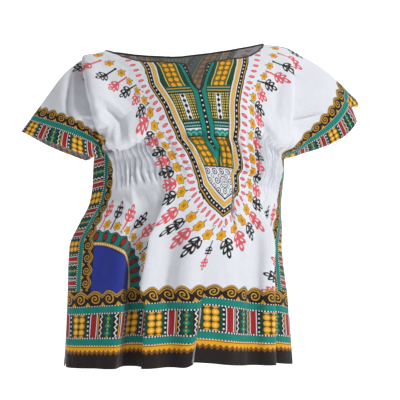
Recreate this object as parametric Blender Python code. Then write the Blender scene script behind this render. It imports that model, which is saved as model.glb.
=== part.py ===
"""A child's dashiki top in printed cotton, holding the form it has when it is worn.

Two straight panels, each cut in one with its short sleeves, are sewn together along the
shoulders and down the sides. Rows of elastic gather the waist, the sides are slit at the hem,
and a narrow binding edges the boat neck and its notch.

A point of the flat cloth is named by its cut, the distance from the panel's centre line, and
its row, the distance below the shoulder line. The front faces -Y, Z is up, and the origin is
midway between the shoulders, where the wearer holds the top up. Sizes are in millimetres and
become metres where a mesh is made.
"""

from typing import NamedTuple

import bpy
import numpy as np

MM = 0.001

# The flat cut of one panel
HALF_WIDTH = 280.0
LENGTH = 467.0
ARMHOLE = 165.0
SLIT_TOP = 395.0
SLIT_SPREAD = 5.0

# The cloth and its seams
WALL = 1.2
SEAM_GAP = 0.3
BINDING_WIDTH = 1.8
BINDING_THICKNESS = 2.0
SHARPEST_MITER = 0.3

# The shirred waist: the middle is gathered less, and the side borders not at all
MIDDLE_SHARE = 0.45
SHIRR_INNER = (85.0, 125.0)
SHIRR_OUTER = (238.0, 254.0)
LEAST_GATHER = 0.06

# How the cloth rounds from the shoulder line down to the armhole row
YOKE_DEPTH_POWER = 2.4
YOKE_DROP_POWER = 1.45
YOKE_REACH_POWER = 1.2
SLEEVE_REACH_POWER = 1.2
LIFT_REACH = 95.0

# The blouse that hangs over the top of the elastic
BLOUSE_MIDDLE = 0.87
BLOUSE_HALF = 0.13

# Rows of the two panels' meshes
ROW_SHARES = (0.0, 0.08, 0.18, 0.32, 0.48, 0.64, 0.76, 0.84, 0.90, 0.95)
SKIRT_ROWS = (165, 192, 220, 246, 272, 298, 324, 350, 376, 400, 423, 446, 467)

FRONT, BACK = -1, 1


class NeckPoint(NamedTuple):
    """The cut and the row of a point of the neckline."""

    cut: float
    front: float
    back: float


NECKLINE = (
    NeckPoint(0, 105, 30),
    NeckPoint(4, 102, 30),
    NeckPoint(9, 91, 30),
    NeckPoint(14, 76, 29),
    NeckPoint(18, 60, 29),
    NeckPoint(25, 57, 28),
    NeckPoint(50, 53, 26),
    NeckPoint(75, 50, 22),
    NeckPoint(92, 45, 17),
    NeckPoint(106, 34, 12),
    NeckPoint(115, 20, 6),
    NeckPoint(120, 0, 0),
)


class Shoulder(NamedTuple):
    """A point of the shoulder line, which runs on along the top of each sleeve."""

    cut: float
    x: float
    y: float
    z: float


SHOULDERS = (
    Shoulder(-280, -233, 4, -113),
    Shoulder(-235, -206, 8, -76),
    Shoulder(-185, -170, 12, -29),
    Shoulder(-150, -146, 12, -11),
    Shoulder(-118, -115, 12, 1),
    Shoulder(0, -7, 16, 9),
    Shoulder(118, 112, 7, 17),
    Shoulder(150, 142, 4, 13),
    Shoulder(185, 173, 0, 0),
    Shoulder(235, 214, -4, -27),
    Shoulder(280, 250, -9, -60),
)


class Bulge(NamedTuple):
    """How far the cloth stands out above the armhole row: the sleeve, and the blouse below it."""

    cut: float
    x: float
    front: float
    back: float
    z: float
    roundness: float
    front_blouse: float
    back_blouse: float
    turn: float
    peak: float


BULGES = (
    Bulge(-280, -3, 40, 42, -5, 1.0, 0, 0, 0.68, 0.60),
    Bulge(-235, 2, 40, 40, 8, 1.0, 6, 5, 0.96, 0.58),
    Bulge(-185, 2, 30, 34, 6, 0.75, 20, 10, 1.0, 0.52),
    Bulge(-150, 0, 12, 16, 0, 0.3, 22, 12, 1.0, 0.5),
    Bulge(-118, 0, 0, 0, 0, 0.0, 15, 12, 1.0, 0.5),
    Bulge(-80, 0, 0, 0, 0, 0.0, 5, 11, 1.0, 0.5),
    Bulge(0, 0, 0, 0, 0, 0.0, 2, 10, 1.0, 0.5),
    Bulge(118, 0, 0, 0, 0, 0.0, 4, 12, 1.0, 0.5),
    Bulge(150, 2, 8, 12, 0, 0.3, 6, 12, 1.0, 0.5),
    Bulge(185, 4, 22, 30, -2, 0.75, 6, 10, 1.0, 0.45),
    Bulge(235, 10, 30, 36, -6, 1.0, 3, 5, 1.0, 0.42),
    Bulge(280, 10, 30, 38, -24, 1.0, 0, 0, 1.0, 0.40),
)


class Section(NamedTuple):
    """A level section of the body of the top: its seams, its middle and its depths."""

    row: float
    left_x: float
    mid_x: float
    right_x: float
    left_z: float
    mid_z: float
    right_z: float
    left_y: float
    right_y: float
    front: float
    back: float
    left_point: float
    right_point: float


SECTIONS = (
    Section(165, -134, 2, 140, -146, -122, -148, 2, -2, 88, 80, 1.8, 1.2),
    Section(182, -135, 9, 141, -160, -137, -163, 2, -2, 86, 74, 2.0, 1.3),
    Section(208, -136, 17, 139, -186, -162, -190, 2, -1, 82, 70, 2.0, 1.3),
    Section(234, -141, 22, 137, -212, -188, -216, 2, 0, 84, 73, 2.0, 1.3),
    Section(262, -154, 17, 137, -237, -217, -242, 2, -4, 86, 80, 1.8, 1.35),
    Section(300, -168, 9, 135, -272, -254, -276, 2, -12, 84, 94, 1.5, 1.6),
    Section(380, -170, -9, 140, -345, -333, -350, 2, -26, 82, 108, 1.3, 1.9),
    Section(467, -173, -12, 143, -428, -424, -432, 2, -28, 80, 110, 1.2, 1.9),
)


class Pull(NamedTuple):
    """How far the middle of the front hangs to one side at a row."""

    row: float
    sideways: float


PULLS = (
    Pull(0, 0),
    Pull(57, 0),
    Pull(74, -4),
    Pull(95, -8),
    Pull(131, -4),
    Pull(156, 2),
    Pull(204, 8),
    Pull(273, 11),
    Pull(298, 3),
    Pull(372, -6),
    Pull(467, -6),
)
PULLED_REACH = (60.0, 200.0)


class Fold(NamedTuple):
    """A fold of the skirt: its place, half width and height, and the rows where it grows."""

    cut: float
    half: float
    out: float
    lean: float
    start: float
    full: float
    at_hem: float
    lift: float


FRONT_FOLDS = (
    Fold(-140, 44, -24, 16, 205, 300, 0.8, 0),
    Fold(-86, 30, 6, -4, 205, 300, 0.7, 0),
    Fold(8, 24, -13, -9, 375, 440, 1.0, 11),
    Fold(64, 34, -6, 0, 230, 300, 0.6, 0),
    Fold(112, 36, 8, 6, 235, 330, 1.0, 0),
    Fold(184, 50, -30, -16, 215, 320, 1.0, 0),
)
BACK_FOLDS = (
    Fold(-190, 42, -20, 6, 235, 400, 1.0, 0),
    Fold(-95, 46, 12, 4, 240, 400, 1.0, 0),
    Fold(-20, 40, -22, 8, 235, 400, 1.0, 0),
    Fold(70, 44, 12, -4, 240, 400, 1.0, 0),
    Fold(150, 42, -22, -8, 235, 400, 1.0, 0),
)


class Finish(NamedTuple):
    """A cloth's colour, roughness and metallic value."""

    name: str
    colour: tuple
    roughness: float
    metallic: float


PRINTED_COTTON = Finish("printed_cotton", (0.84, 0.84, 0.87, 1.0), 0.85, 0.0)
BINDING_COTTON = Finish("binding_cotton", (0.045, 0.035, 0.03, 1.0), 0.8, 0.0)


def unit(vectors):
    """The vectors, each scaled to a length of one."""
    return vectors / np.linalg.norm(vectors, axis=-1, keepdims=True)


def ease(start, end, value):
    """0 before start, 1 after end, and a smooth step between them."""
    share = np.clip((value - start) / (end - start), 0.0, 1.0)
    return share * share * (3.0 - 2.0 * share)


def hump(share):
    """1 at the middle of a fold and 0 at its two sides."""
    return np.where(np.abs(share) < 1.0, np.cos(np.clip(share, -1.0, 1.0) * np.pi / 2.0) ** 2, 0.0)


def read(table, column, at):
    """A column of a table at the given places of its first column, with no overshoot."""
    places = np.array([line[0] for line in table], float)
    values = np.array([getattr(line, column) for line in table], float)
    at = np.clip(np.asarray(at, float), places[0], places[-1])
    widths = np.diff(places)
    slopes = np.diff(values) / widths
    ends = np.zeros_like(values)
    ends[0] = slopes[0]
    ends[-1] = slopes[-1]
    before, after = slopes[:-1], slopes[1:]
    total = np.where(before + after == 0.0, 1.0, before + after)
    ends[1:-1] = np.where(before * after > 0.0, 2.0 * before * after / total, 0.0)
    i = np.clip(np.searchsorted(places, at, "right") - 1, 0, len(widths) - 1)
    t = (at - places[i]) / widths[i]
    return (
        (1 + 2 * t) * (1 - t) ** 2 * values[i]
        + t * (1 - t) ** 2 * widths[i] * ends[i]
        + t * t * (3 - 2 * t) * values[i + 1]
        + t * t * (t - 1) * widths[i] * ends[i + 1]
    )


def neck_row(side, cuts):
    """The row where the panel begins: the neckline, and the shoulder line beside it."""
    places = [line.cut for line in NECKLINE]
    rows = [line.front if side == FRONT else line.back for line in NECKLINE]
    return np.interp(np.abs(cuts), places, rows)


def hung_cuts(side, cuts, rows):
    """The cuts, moved to where the cloth hangs to one side of the middle."""
    if side == BACK:
        return cuts
    return cuts + read(PULLS, "sideways", rows) * (1 - ease(*PULLED_REACH, np.abs(cuts)))


def fold_growth(fold, row):
    """How far a fold has grown at a row."""
    return ease(fold.start, fold.full, row) * (1 + (fold.at_hem - 1) * ease(fold.full, LENGTH, row))


def fold_shape(side, cuts, row):
    """How far the folds push the cloth out, along and up at the given cuts of a row."""
    out, along, up = np.zeros_like(cuts), np.zeros_like(cuts), np.zeros_like(cuts)
    for fold in FRONT_FOLDS if side == FRONT else BACK_FOLDS:
        growth = fold_growth(fold, row)
        shape = growth * hump((cuts - fold.cut) / fold.half)
        out += fold.out * shape
        along += fold.lean * shape
        step = ease(fold.cut - fold.half / 2, fold.cut + fold.half / 2, cuts)
        up += fold.lift * growth * step * (1 - ease(fold.cut, fold.cut + LIFT_REACH, cuts))
    return out, along, up


def gather_share(cuts):
    """Each cut's share of the shirring, from 0 at the side borders to 1 beside them."""
    away = np.abs(cuts)
    return (MIDDLE_SHARE + (1 - MIDDLE_SHARE) * ease(*SHIRR_INNER, away)) * (1 - ease(*SHIRR_OUTER, away))


def gathered_places(side, row, seam_to_middle, whole):
    """Where each cut lies along a section, so that each half of the cloth fills its half of it."""
    cuts = np.linspace(-HALF_WIDTH, HALF_WIDTH, 561)
    out, along, _ = fold_shape(side, cuts, row)
    out_slope, along_slope = np.gradient(out, cuts), np.gradient(along, cuts)
    share = gather_share(cuts)
    places = np.zeros_like(cuts)
    middle = len(cuts) // 2
    halves = ((slice(0, middle + 1), 0.0, seam_to_middle), (slice(middle, None), seam_to_middle, whole))
    for half, begin, finish in halves:
        low, high = 0.0, 0.97
        for _ in range(30):
            gather = (low + high) / 2
            width = 1 - gather * share[half]
            flat = np.sqrt(np.maximum(width**2 - out_slope[half] ** 2, 0.0))
            step = np.maximum(LEAST_GATHER, flat - along_slope[half])
            run = np.concatenate([[0.0], np.cumsum((step[1:] + step[:-1]) / 2 * np.diff(cuts[half]))])
            low, high = (gather, high) if run[-1] > finish - begin else (low, gather)
        places[half] = begin + run * (finish - begin) / run[-1]
    return cuts, places


def body_row(side, cuts, row):
    """Points of a row of the body, at or below the armhole row."""
    size = {name: float(read(SECTIONS, name, row)) for name in Section._fields[1:]}
    depth = size["front"] if side == FRONT else size["back"]
    turn = np.linspace(-np.pi / 2, np.pi / 2, 721)
    across = np.sin(turn)
    power = np.where(across < 0, size["left_point"], size["right_point"])
    round_ = np.clip(np.cos(turn), 0.0, 1.0) ** power
    x = (size["left_x"] + size["right_x"]) / 2 + (size["right_x"] - size["left_x"]) / 2 * across
    y = (size["left_y"] + size["right_y"]) / 2 + (size["right_y"] - size["left_y"]) / 2 * across
    y = y + side * depth * round_
    side_z = np.where(across < 0, size["left_z"], size["right_z"])
    z = side_z * across**2 + size["mid_z"] * (1 - across**2)
    lengths = np.hypot(np.diff(x), np.diff(y))
    arc = np.concatenate([[0.0], np.cumsum(lengths)])
    middle_x = size["mid_x"] if side == FRONT else -size["mid_x"]
    flat_cuts, places = gathered_places(side, row, float(np.interp(middle_x, x, arc)), arc[-1])
    at = np.interp(cuts, flat_cuts, places)
    half_way = (arc[1:] + arc[:-1]) / 2
    along_x = np.interp(at, half_way, np.diff(x) / lengths)
    along_y = np.interp(at, half_way, np.diff(y) / lengths)
    scale = np.hypot(along_x, along_y)
    along_x, along_y = along_x / scale, along_y / scale
    out, along, up = fold_shape(side, cuts, row)
    spread = SLIT_SPREAD * ease(SLIT_TOP, LENGTH, row) * ease(HALF_WIDTH - 60, HALF_WIDTH, np.abs(cuts))
    return np.stack(
        [
            np.interp(at, arc, x) - side * along_y * out + along_x * along,
            np.interp(at, arc, y) + side * along_x * out + along_y * along + side * spread,
            np.interp(at, arc, z) + up,
        ],
        axis=-1,
    )


def upper_points(side, cuts, rows):
    """Points between the shoulder line and the armhole row, on the yoke and the sleeves."""
    armhole_row = body_row(side, cuts, ARMHOLE)
    down = rows / ARMHOLE
    sleeve = np.clip(down / read(BULGES, "turn", cuts), 0, 1) ** SLEEVE_REACH_POWER
    rounding = np.sin(np.pi * np.clip(down, 0, 1) ** (np.log(0.5) / np.log(read(BULGES, "peak", cuts))))
    roundness = read(BULGES, "roundness", cuts)
    yoke = (
        np.sin(np.pi * down / 2) ** YOKE_REACH_POWER,
        1 - (1 - down) ** YOKE_DEPTH_POWER,
        down**YOKE_DROP_POWER,
    )
    reach = np.stack([roundness * sleeve + (1 - roundness) * part for part in yoke], axis=-1)
    ridge = np.stack([read(SHOULDERS, axis, cuts) for axis in "xyz"], axis=-1)
    depth = read(BULGES, "front" if side == FRONT else "back", cuts)
    bulge = np.stack([read(BULGES, "x", cuts), side * depth, read(BULGES, "z", cuts)], axis=-1)
    blouse = read(BULGES, "front_blouse" if side == FRONT else "back_blouse", cuts)
    puff = blouse * hump((down - BLOUSE_MIDDLE) / BLOUSE_HALF)
    aim = cuts / HALF_WIDTH * np.pi / 2
    outward = np.stack([np.sin(aim), side * np.cos(aim / 2), -down], axis=-1)
    return (
        ridge
        + (armhole_row - ridge) * reach
        + bulge * rounding[..., None]
        + outward * puff[..., None]
    )


def mirrored(cuts):
    """The given cuts of one half, and those of the other half."""
    return np.array(sorted({-cut for cut in cuts} | set(cuts)), float)


def panel_cuts(side):
    """The cuts of a panel's mesh: closest at the neckline's bends and in the deep folds."""
    sleeve = (132, 146, 160, 173, 184, 195, 208, 224, 240, 260, HALF_WIDTH)
    neck = [line.cut for line in NECKLINE] + [35, 62, 83]
    if side == BACK:
        neck = [0, 12, 24, 37, 50, 64, 78, 92, 106, 115, 120]
    return mirrored([*neck, *sleeve])


def panel_points(side):
    """The middle surface of a panel, as rows of points."""
    cuts = panel_cuts(side)
    top = neck_row(side, cuts)
    points = []
    for share in ROW_SHARES:
        rows = top + share * (ARMHOLE - top)
        points.append(upper_points(side, hung_cuts(side, cuts, rows), rows))
    for row in SKIRT_ROWS:
        points.append(body_row(side, hung_cuts(side, cuts, row), row))
    return np.array(points)


def grid_normals(points):
    """A unit normal for each point of a grid, to the cloth's outer side on the front panel."""
    down = np.gradient(points, axis=0)
    across = np.gradient(points, axis=1)
    return unit(np.cross(down, across))


def panel_faces(points, side):
    """A panel's outer and inner faces, each moved off the seams' plane by half the seam gap."""
    normals = -side * grid_normals(points)
    clearance = SEAM_GAP / 2 + WALL / 2 * np.abs(normals[..., 1:2])
    middle = points + np.array([0.0, side, 0.0]) * clearance
    return middle + normals * WALL / 2, middle - normals * WALL / 2


def make_object(name, vertices, faces, finish):
    """Make a named object with its own material from vertices in millimetres."""
    mesh = bpy.data.meshes.new(name)
    mesh.from_pydata((np.asarray(vertices) * MM).tolist(), [], faces)
    mesh.update()
    mesh.shade_smooth()
    mesh.set_sharp_from_angle(angle=np.radians(60.0))
    material = bpy.data.materials.new(finish.name)
    material.use_nodes = True
    shader = material.node_tree.nodes["Principled BSDF"]
    shader.inputs["Base Color"].default_value = finish.colour
    shader.inputs["Roughness"].default_value = finish.roughness
    shader.inputs["Metallic"].default_value = finish.metallic
    material.diffuse_color = finish.colour
    mesh.materials.append(material)
    thing = bpy.data.objects.new(name, mesh)
    bpy.context.scene.collection.objects.link(thing)
    return thing


def make_panel(name, side):
    """Make a panel as one closed wall: an outer sheet, an inner sheet and the edges between."""
    outer, inner = panel_faces(panel_points(side), side)
    rows, columns = outer.shape[:2]
    size = rows * columns

    def number(row, column, sheet):
        return sheet * size + row * columns + column

    faces = []
    for row in range(rows - 1):
        for column in range(columns - 1):
            corners = ((row, column), (row + 1, column), (row + 1, column + 1), (row, column + 1))
            faces.append([number(*corner, 0) for corner in corners])
            faces.append([number(*corner, 1) for corner in reversed(corners)])
    border = [(0, column) for column in range(columns - 1)]
    border += [(row, columns - 1) for row in range(rows - 1)]
    border += [(rows - 1, column) for column in range(columns - 1, 0, -1)]
    border += [(row, 0) for row in range(rows - 1, 0, -1)]
    for here, there in zip(border, border[1:] + border[:1]):
        faces.append([number(*here, 0), number(*there, 0), number(*there, 1), number(*here, 1)])
    if side == BACK:
        faces = [face[::-1] for face in faces]
    vertices = np.concatenate([outer.reshape(-1, 3), inner.reshape(-1, 3)])
    return make_object(name, vertices, faces, PRINTED_COTTON)


def neck_edge(side):
    """The neckline's points on a panel, and the panel's normal at each."""
    outer, inner = panel_faces(panel_points(side), side)
    neck = np.abs(panel_cuts(side)) <= NECKLINE[-1].cut
    return ((outer + inner) / 2)[0][neck], unit(outer - inner)[0][neck]


def neck_loop():
    """The whole neck opening: its points, its normals and the binding's clearance at each."""
    front_edge, front_normals = neck_edge(FRONT)
    back_edge, back_normals = neck_edge(BACK)
    left, right = ((front_edge[i] + back_edge[i]) / 2 for i in (0, -1))
    left_normal, right_normal = (unit(front_normals[i] + back_normals[i]) for i in (0, -1))
    points = np.array([left, *front_edge[1:-1], right, *back_edge[-2:0:-1]])
    normals = np.array([left_normal, *front_normals[1:-1], right_normal, *back_normals[-2:0:-1]])
    clearance = np.full(len(points), SEAM_GAP)
    for corner, normal, end in ((0, left_normal, 0), (len(front_edge) - 1, right_normal, -1)):
        twist = np.linalg.norm(np.cross(normal, front_normals[end]))
        clearance[corner] += twist * BINDING_THICKNESS / 2
    return points, normals, clearance[:, None]


def make_binding(name):
    """Make the binding: a square cord all round the neck opening, just clear of the panels."""
    edge, normals, clearance = neck_loop()
    before = unit(edge - np.roll(edge, 1, axis=0))
    after = np.roll(before, -1, axis=0)
    inward = unit(np.cross(normals, unit(before + after)))
    cos_turn = np.sum(before * after, axis=-1, keepdims=True)
    miter = 1 / np.sqrt(np.clip((1 + cos_turn) / 2, SHARPEST_MITER, 1.0))
    near = edge + inward * clearance * miter
    far = edge + inward * (clearance + BINDING_WIDTH) * miter
    rise = normals * BINDING_THICKNESS / 2
    rings = np.stack([near + rise, far + rise, far - rise, near - rise], axis=1)
    count, sides = rings.shape[:2]
    faces = []
    for i in range(count):
        j = (i + 1) % count
        for k in range(sides):
            m = (k + 1) % sides
            faces.append([sides * i + k, sides * j + k, sides * j + m, sides * i + m])
    return make_object(name, rings.reshape(-1, 3), faces, BINDING_COTTON)


def main():
    """Empty the scene and build the top."""
    for thing in list(bpy.data.objects):
        bpy.data.objects.remove(thing, do_unlink=True)
    make_panel("front_panel", FRONT)
    make_panel("back_panel", BACK)
    make_binding("neck_binding")


main()
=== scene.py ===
"""A child's dashiki top in printed cotton: its cloth, its print and its edging.

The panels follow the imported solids' form in a fine mesh, with gathers, creases and turned hems,
and their hem hangs a few millimetres lower. A point of the flat cloth is named by its cut, the
distance from the panel's centre line, and its row, the distance below the shoulder line. Both are
in millimetres, and become metres where a mesh is made.
"""

import logging
import math
from dataclasses import dataclass
from enum import Enum
from typing import TypeVar

import bpy
import numpy as np
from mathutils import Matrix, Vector


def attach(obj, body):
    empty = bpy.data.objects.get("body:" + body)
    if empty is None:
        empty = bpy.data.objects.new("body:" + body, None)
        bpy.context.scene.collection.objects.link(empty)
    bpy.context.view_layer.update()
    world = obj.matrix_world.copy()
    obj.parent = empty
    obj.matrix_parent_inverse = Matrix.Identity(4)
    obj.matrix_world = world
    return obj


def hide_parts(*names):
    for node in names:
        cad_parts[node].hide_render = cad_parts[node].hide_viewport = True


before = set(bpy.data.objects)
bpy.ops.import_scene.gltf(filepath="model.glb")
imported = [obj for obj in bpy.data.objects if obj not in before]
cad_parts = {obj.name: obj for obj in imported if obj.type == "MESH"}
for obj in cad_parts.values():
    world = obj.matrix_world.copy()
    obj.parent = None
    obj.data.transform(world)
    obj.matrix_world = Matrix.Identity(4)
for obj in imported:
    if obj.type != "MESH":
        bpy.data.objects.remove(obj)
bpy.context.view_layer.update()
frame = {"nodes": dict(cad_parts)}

Array = np.ndarray
Choice = TypeVar("Choice")
Colour = tuple[float, float, float, float]
Range = tuple[float, float]
Pair = tuple[Array, Array]
Triple = tuple[float, float, float]
# A row of dots: where it runs, their pitch and their radius.
Dots = Triple
# The box that a motif keeps to: half its width, and how far in and out it goes from its place.
Reach = Triple
Socket = bpy.types.NodeSocket
Tree = bpy.types.NodeTree
Material = bpy.types.Material
Thing = bpy.types.Object

MM = 0.001
# Farther than any edge of the cloth, in mm: added where an edge doesn't count.
FAR = 400.0
SHARP_DEGREES = 60.0
RIPPLE_WAVES = 7
RIPPLE_PITCHES = (0.7, 1.5)
DOWN = np.array([0.0, 1.0])
BODY = "root"
LOG = logging.getLogger("dashiki_top")


class Side(Enum):
    """The two panels, each with its sign along Y."""

    FRONT = -1
    BACK = 1

    def pick(self, front: Choice, back: Choice) -> Choice:
        """Choose between the front's own value and the back's."""
        return front if self is Side.FRONT else back


class Motif(Enum):
    """The motifs of the print, each with its number in the Kind layer, where 0 is bare cloth."""

    PETAL = 1
    BLOSSOM = 2
    DARK_SPRIG = 3
    RED_SPRIG = 4


class Slot(Enum):
    """The material slots of the part's record."""

    PRINTED = "printed_cotton"
    BINDING = "binding_cotton"


def unit(vectors: Array) -> Array:
    """Scale the vectors along the last axis to a length of one."""
    return vectors / np.maximum(np.linalg.norm(vectors, axis=-1, keepdims=True), 1e-12)


def ease(start: float, end: float, value: Array | float) -> Array:
    """Step smoothly from 0 before the start to 1 after the end."""
    share = np.clip((np.asarray(value, float) - start) / (end - start), 0.0, 1.0)
    return share * share * (3.0 - 2.0 * share)


def hump(share: Array) -> Array:
    """Give a rounded hump: 1 at a share of 0, and 0 at and beyond a share of 1 to either side."""
    return np.where(np.abs(share) < 1.0, np.cos(np.clip(share, -1.0, 1.0) * np.pi / 2.0) ** 2, 0.0)


def ripple(cuts: Array, rows: Array, across: float, down: float, seed: int) -> Array:
    """Give a smooth uneven field that is the same each run.

    Args:
        cuts: Cuts of the points.
        rows: Rows of the points.
        across: Usual length of a wave across the cloth, in mm.
        down: Usual length of a wave down the cloth, in mm.
        seed: Seed of the waves.

    Returns:
        Heights of about -1 to 1.
    """
    draw = np.random.default_rng(seed)
    total = np.zeros(np.broadcast(cuts, rows).shape)
    for _ in range(RIPPLE_WAVES):
        turn = draw.uniform(0, 2 * np.pi)
        pitch = draw.uniform(*RIPPLE_PITCHES)
        phase = draw.uniform(0, 2 * np.pi)
        along = np.cos(turn) * cuts / across + np.sin(turn) * rows / down
        total = total + np.sin(2 * np.pi * along * pitch + phase)
    return total / math.sqrt(RIPPLE_WAVES)


def summed(steps: Array) -> Array:
    """Add steps up one after another, starting from 0."""
    return np.concatenate([[0.0], np.cumsum(steps)])


def read_path(wanted: Array, places: Array, path: Array) -> Array:
    """Read a path of points at the wanted places, from the place of each of its points."""
    return np.stack([np.interp(wanted, places, path[:, k]) for k in range(path.shape[1])], axis=-1)


@dataclass(frozen=True)
class Table:
    """Rows of numbers under named columns; the first column says where each row lies."""

    columns: tuple[str, ...]
    rows: tuple[tuple[float, ...], ...]

    def column(self, name: str) -> Array:
        """Give one column's numbers."""
        return np.array([row[self.columns.index(name)] for row in self.rows], float)

    def lines(self) -> list[dict[str, float]]:
        """Give each row as its numbers under their columns' names."""
        return [dict(zip(self.columns, row)) for row in self.rows]

    def read(self, name: str, at: Array | float) -> Array:
        """Read a column along a smooth curve with no overshoot.

        Args:
            name: The column.
            at: Places along the first column.

        Returns:
            The column's value at each place.
        """
        places = self.column(self.columns[0])
        values = self.column(name)
        at = np.clip(np.asarray(at, float), places[0], places[-1])
        widths = np.diff(places)
        slopes = np.diff(values) / widths
        ends = np.zeros_like(values)
        ends[0] = slopes[0]
        ends[-1] = slopes[-1]
        before, after = slopes[:-1], slopes[1:]
        total = np.where(before + after == 0.0, 1.0, before + after)
        ends[1:-1] = np.where(before * after > 0.0, 2.0 * before * after / total, 0.0)
        i = np.clip(np.searchsorted(places, at, "right") - 1, 0, len(widths) - 1)
        t = (at - places[i]) / widths[i]
        return (
            (1 + 2 * t) * (1 - t) ** 2 * values[i]
            + t * (1 - t) ** 2 * widths[i] * ends[i]
            + t * t * (3 - 2 * t) * values[i + 1]
            + t * t * (t - 1) * widths[i] * ends[i + 1]
        )


FOLD_COLUMNS = ("cut", "half", "out", "start", "full", "at_hem")
PLEAT_COLUMNS = ("cut", "wall", "tilt", "start", "full", "fade", "gone", "lift", "lean")
CREASE_COLUMNS = ("cut", "row", "to_cut", "to_row", "width", "height", "bend", "step", "over")


@dataclass(frozen=True)
class WornForm:
    """The form that the two panels hold when the top is worn, close to the solids' own."""

    half_width: float = 280.0
    length: float = 467.0
    armhole: float = 165.0
    slit_top: float = 395.0
    slit_spread: float = 5.0
    middle_share: float = 0.45
    shirr_inner: Range = (85.0, 125.0)
    shirr_outer: Range = (238.0, 254.0)
    least_flat: float = 0.0012
    yoke_depth_power: float = 2.4
    yoke_drop_power: float = 1.45
    yoke_reach_power: float = 1.2
    sleeve_reach_power: float = 1.2
    lift_reach: float = 95.0
    blouse_middle: float = 0.87
    blouse_half: float = 0.13
    pulled_reach: Range = (60.0, 200.0)
    side_reach: float = 60.0
    most_gather: float = 0.97
    gather_rounds: int = 30
    flat_points: int = 561
    section_points: int = 721
    armhole_points: int = 1121
    neckline: Table = Table(
        ("cut", "front", "back"),
        (
            (0, 105, 30), (4, 102, 30), (9, 91, 30), (14, 76, 29), (18, 60, 29), (25, 57, 28),
            (50, 53, 26), (75, 50, 22), (92, 45, 17), (106, 34, 12), (115, 20, 6), (120, 0, 0),
        ),
    )
    shoulders: Table = Table(
        ("cut", "x", "y", "z"),
        (
            (-280, -233, 4, -113), (-235, -206, 8, -76), (-185, -170, 12, -29),
            (-150, -146, 12, -11), (-118, -115, 12, 1), (0, -7, 16, 9), (118, 112, 7, 17),
            (150, 142, 4, 13), (185, 173, 0, 0), (235, 214, -4, -27), (280, 250, -9, -60),
        ),
    )
    bulges: Table = Table(
        ("cut", "x", "front", "back", "z", "roundness", "front_blouse", "back_blouse", "turn", "peak"),
        (
            (-280, -3, 40, 42, -5, 1.0, 0, 0, 0.68, 0.60),
            (-235, 2, 40, 40, 8, 1.0, 6, 5, 0.96, 0.58),
            (-185, 2, 30, 34, 6, 0.75, 20, 10, 1.0, 0.52),
            (-150, 0, 12, 16, 0, 0.3, 22, 12, 1.0, 0.5), (-118, 0, 0, 0, 0, 0.0, 15, 12, 1.0, 0.5),
            (-80, 0, 0, 0, 0, 0.0, 5, 11, 1.0, 0.5), (0, 0, 0, 0, 0, 0.0, 2, 10, 1.0, 0.5),
            (118, 0, 0, 0, 0, 0.0, 4, 12, 1.0, 0.5), (150, 2, 8, 12, 0, 0.3, 6, 12, 1.0, 0.5),
            (185, 4, 22, 30, -2, 0.75, 6, 10, 1.0, 0.45),
            (235, 10, 30, 36, -6, 1.0, 3, 5, 1.0, 0.42),
            (280, 10, 30, 38, -24, 1.0, 0, 0, 1.0, 0.40),
        ),
    )
    sections: Table = Table(
        (
            "row", "left_x", "mid_x", "right_x", "left_z", "mid_z", "right_z", "left_y", "right_y",
            "front", "back", "left_point", "right_point",
        ),
        (
            (165, -134, 2, 140, -146, -122, -148, 2, -2, 88, 80, 1.8, 1.2),
            (182, -135, 9, 141, -160, -137, -163, 2, -2, 86, 74, 2.0, 1.3),
            (208, -136, 17, 139, -186, -162, -190, 2, -1, 82, 70, 2.0, 1.3),
            (234, -141, 22, 137, -212, -188, -216, 2, 0, 84, 73, 2.0, 1.3),
            (262, -154, 17, 137, -237, -217, -242, 2, -4, 86, 80, 1.8, 1.35),
            (300, -168, 9, 135, -272, -254, -276, 2, -12, 84, 94, 1.5, 1.6),
            (380, -170, -9, 140, -348, -336, -353, 2, -26, 82, 108, 1.3, 1.9),
            (467, -173, -12, 143, -433, -428, -436, 2, -28, 80, 110, 1.2, 1.9),
        ),
    )
    pulls: Table = Table(
        ("row", "sideways"),
        (
            (0, 0), (57, 0), (74, -4), (95, -8), (131, -4), (156, 2), (204, 8), (273, 11), (298, 3),
            (372, -6), (467, -6),
        ),
    )
    front_folds: Table = Table(
        FOLD_COLUMNS,
        (
            (-200, 26, 6, 235, 330, 1.0), (-158, 38, -29, 212, 315, 1.0),
            (-88, 24, 8, 195, 290, 0.8), (-54, 22, -8, 235, 330, 0.9), (-22, 24, 6, 250, 340, 1.0),
            (40, 20, 4, 340, 400, 1.0), (80, 24, -9, 230, 330, 0.8), (112, 26, 9, 235, 320, 1.0),
            (236, 26, -8, 240, 330, 1.0),
        ),
    )
    back_folds: Table = Table(
        FOLD_COLUMNS,
        (
            (-205, 36, 6, 235, 400, 1.0), (-58, 40, 8, 240, 400, 1.0), (12, 34, -7, 235, 400, 1.0),
            (64, 34, 7, 240, 400, 1.0), (196, 40, 6, 235, 400, 1.0),
        ),
    )
    front_pleats: Table = Table(
        PLEAT_COLUMNS,
        (
            (-249, 8, 10, 110, 152, 160, 212, 0, 0), (-256, 4, 0, 150, 176, 225, 290, 0, 0),
            (-112, 29, 46, 195, 300, 345, 760, 0, -11), (-1, 11, 56, 352, 392, 500, 600, 7, -20),
            (33, 9, 44, 192, 224, 246, 330, 0, 0), (184, 60, -58, 215, 320, 500, 600, 6, 0),
        ),
    )
    back_pleats: Table = Table(
        PLEAT_COLUMNS,
        (
            (-150, 26, 48, 215, 360, 500, 600, 0, 0), (-98, 14, -40, 235, 380, 500, 600, 0, 0),
            (22, 22, 50, 230, 370, 500, 600, 0, 0), (118, 30, -52, 215, 350, 500, 600, 0, 0),
        ),
    )
    pleat_steepness: float = 0.995
    pleat_round: float = 2.4

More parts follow.
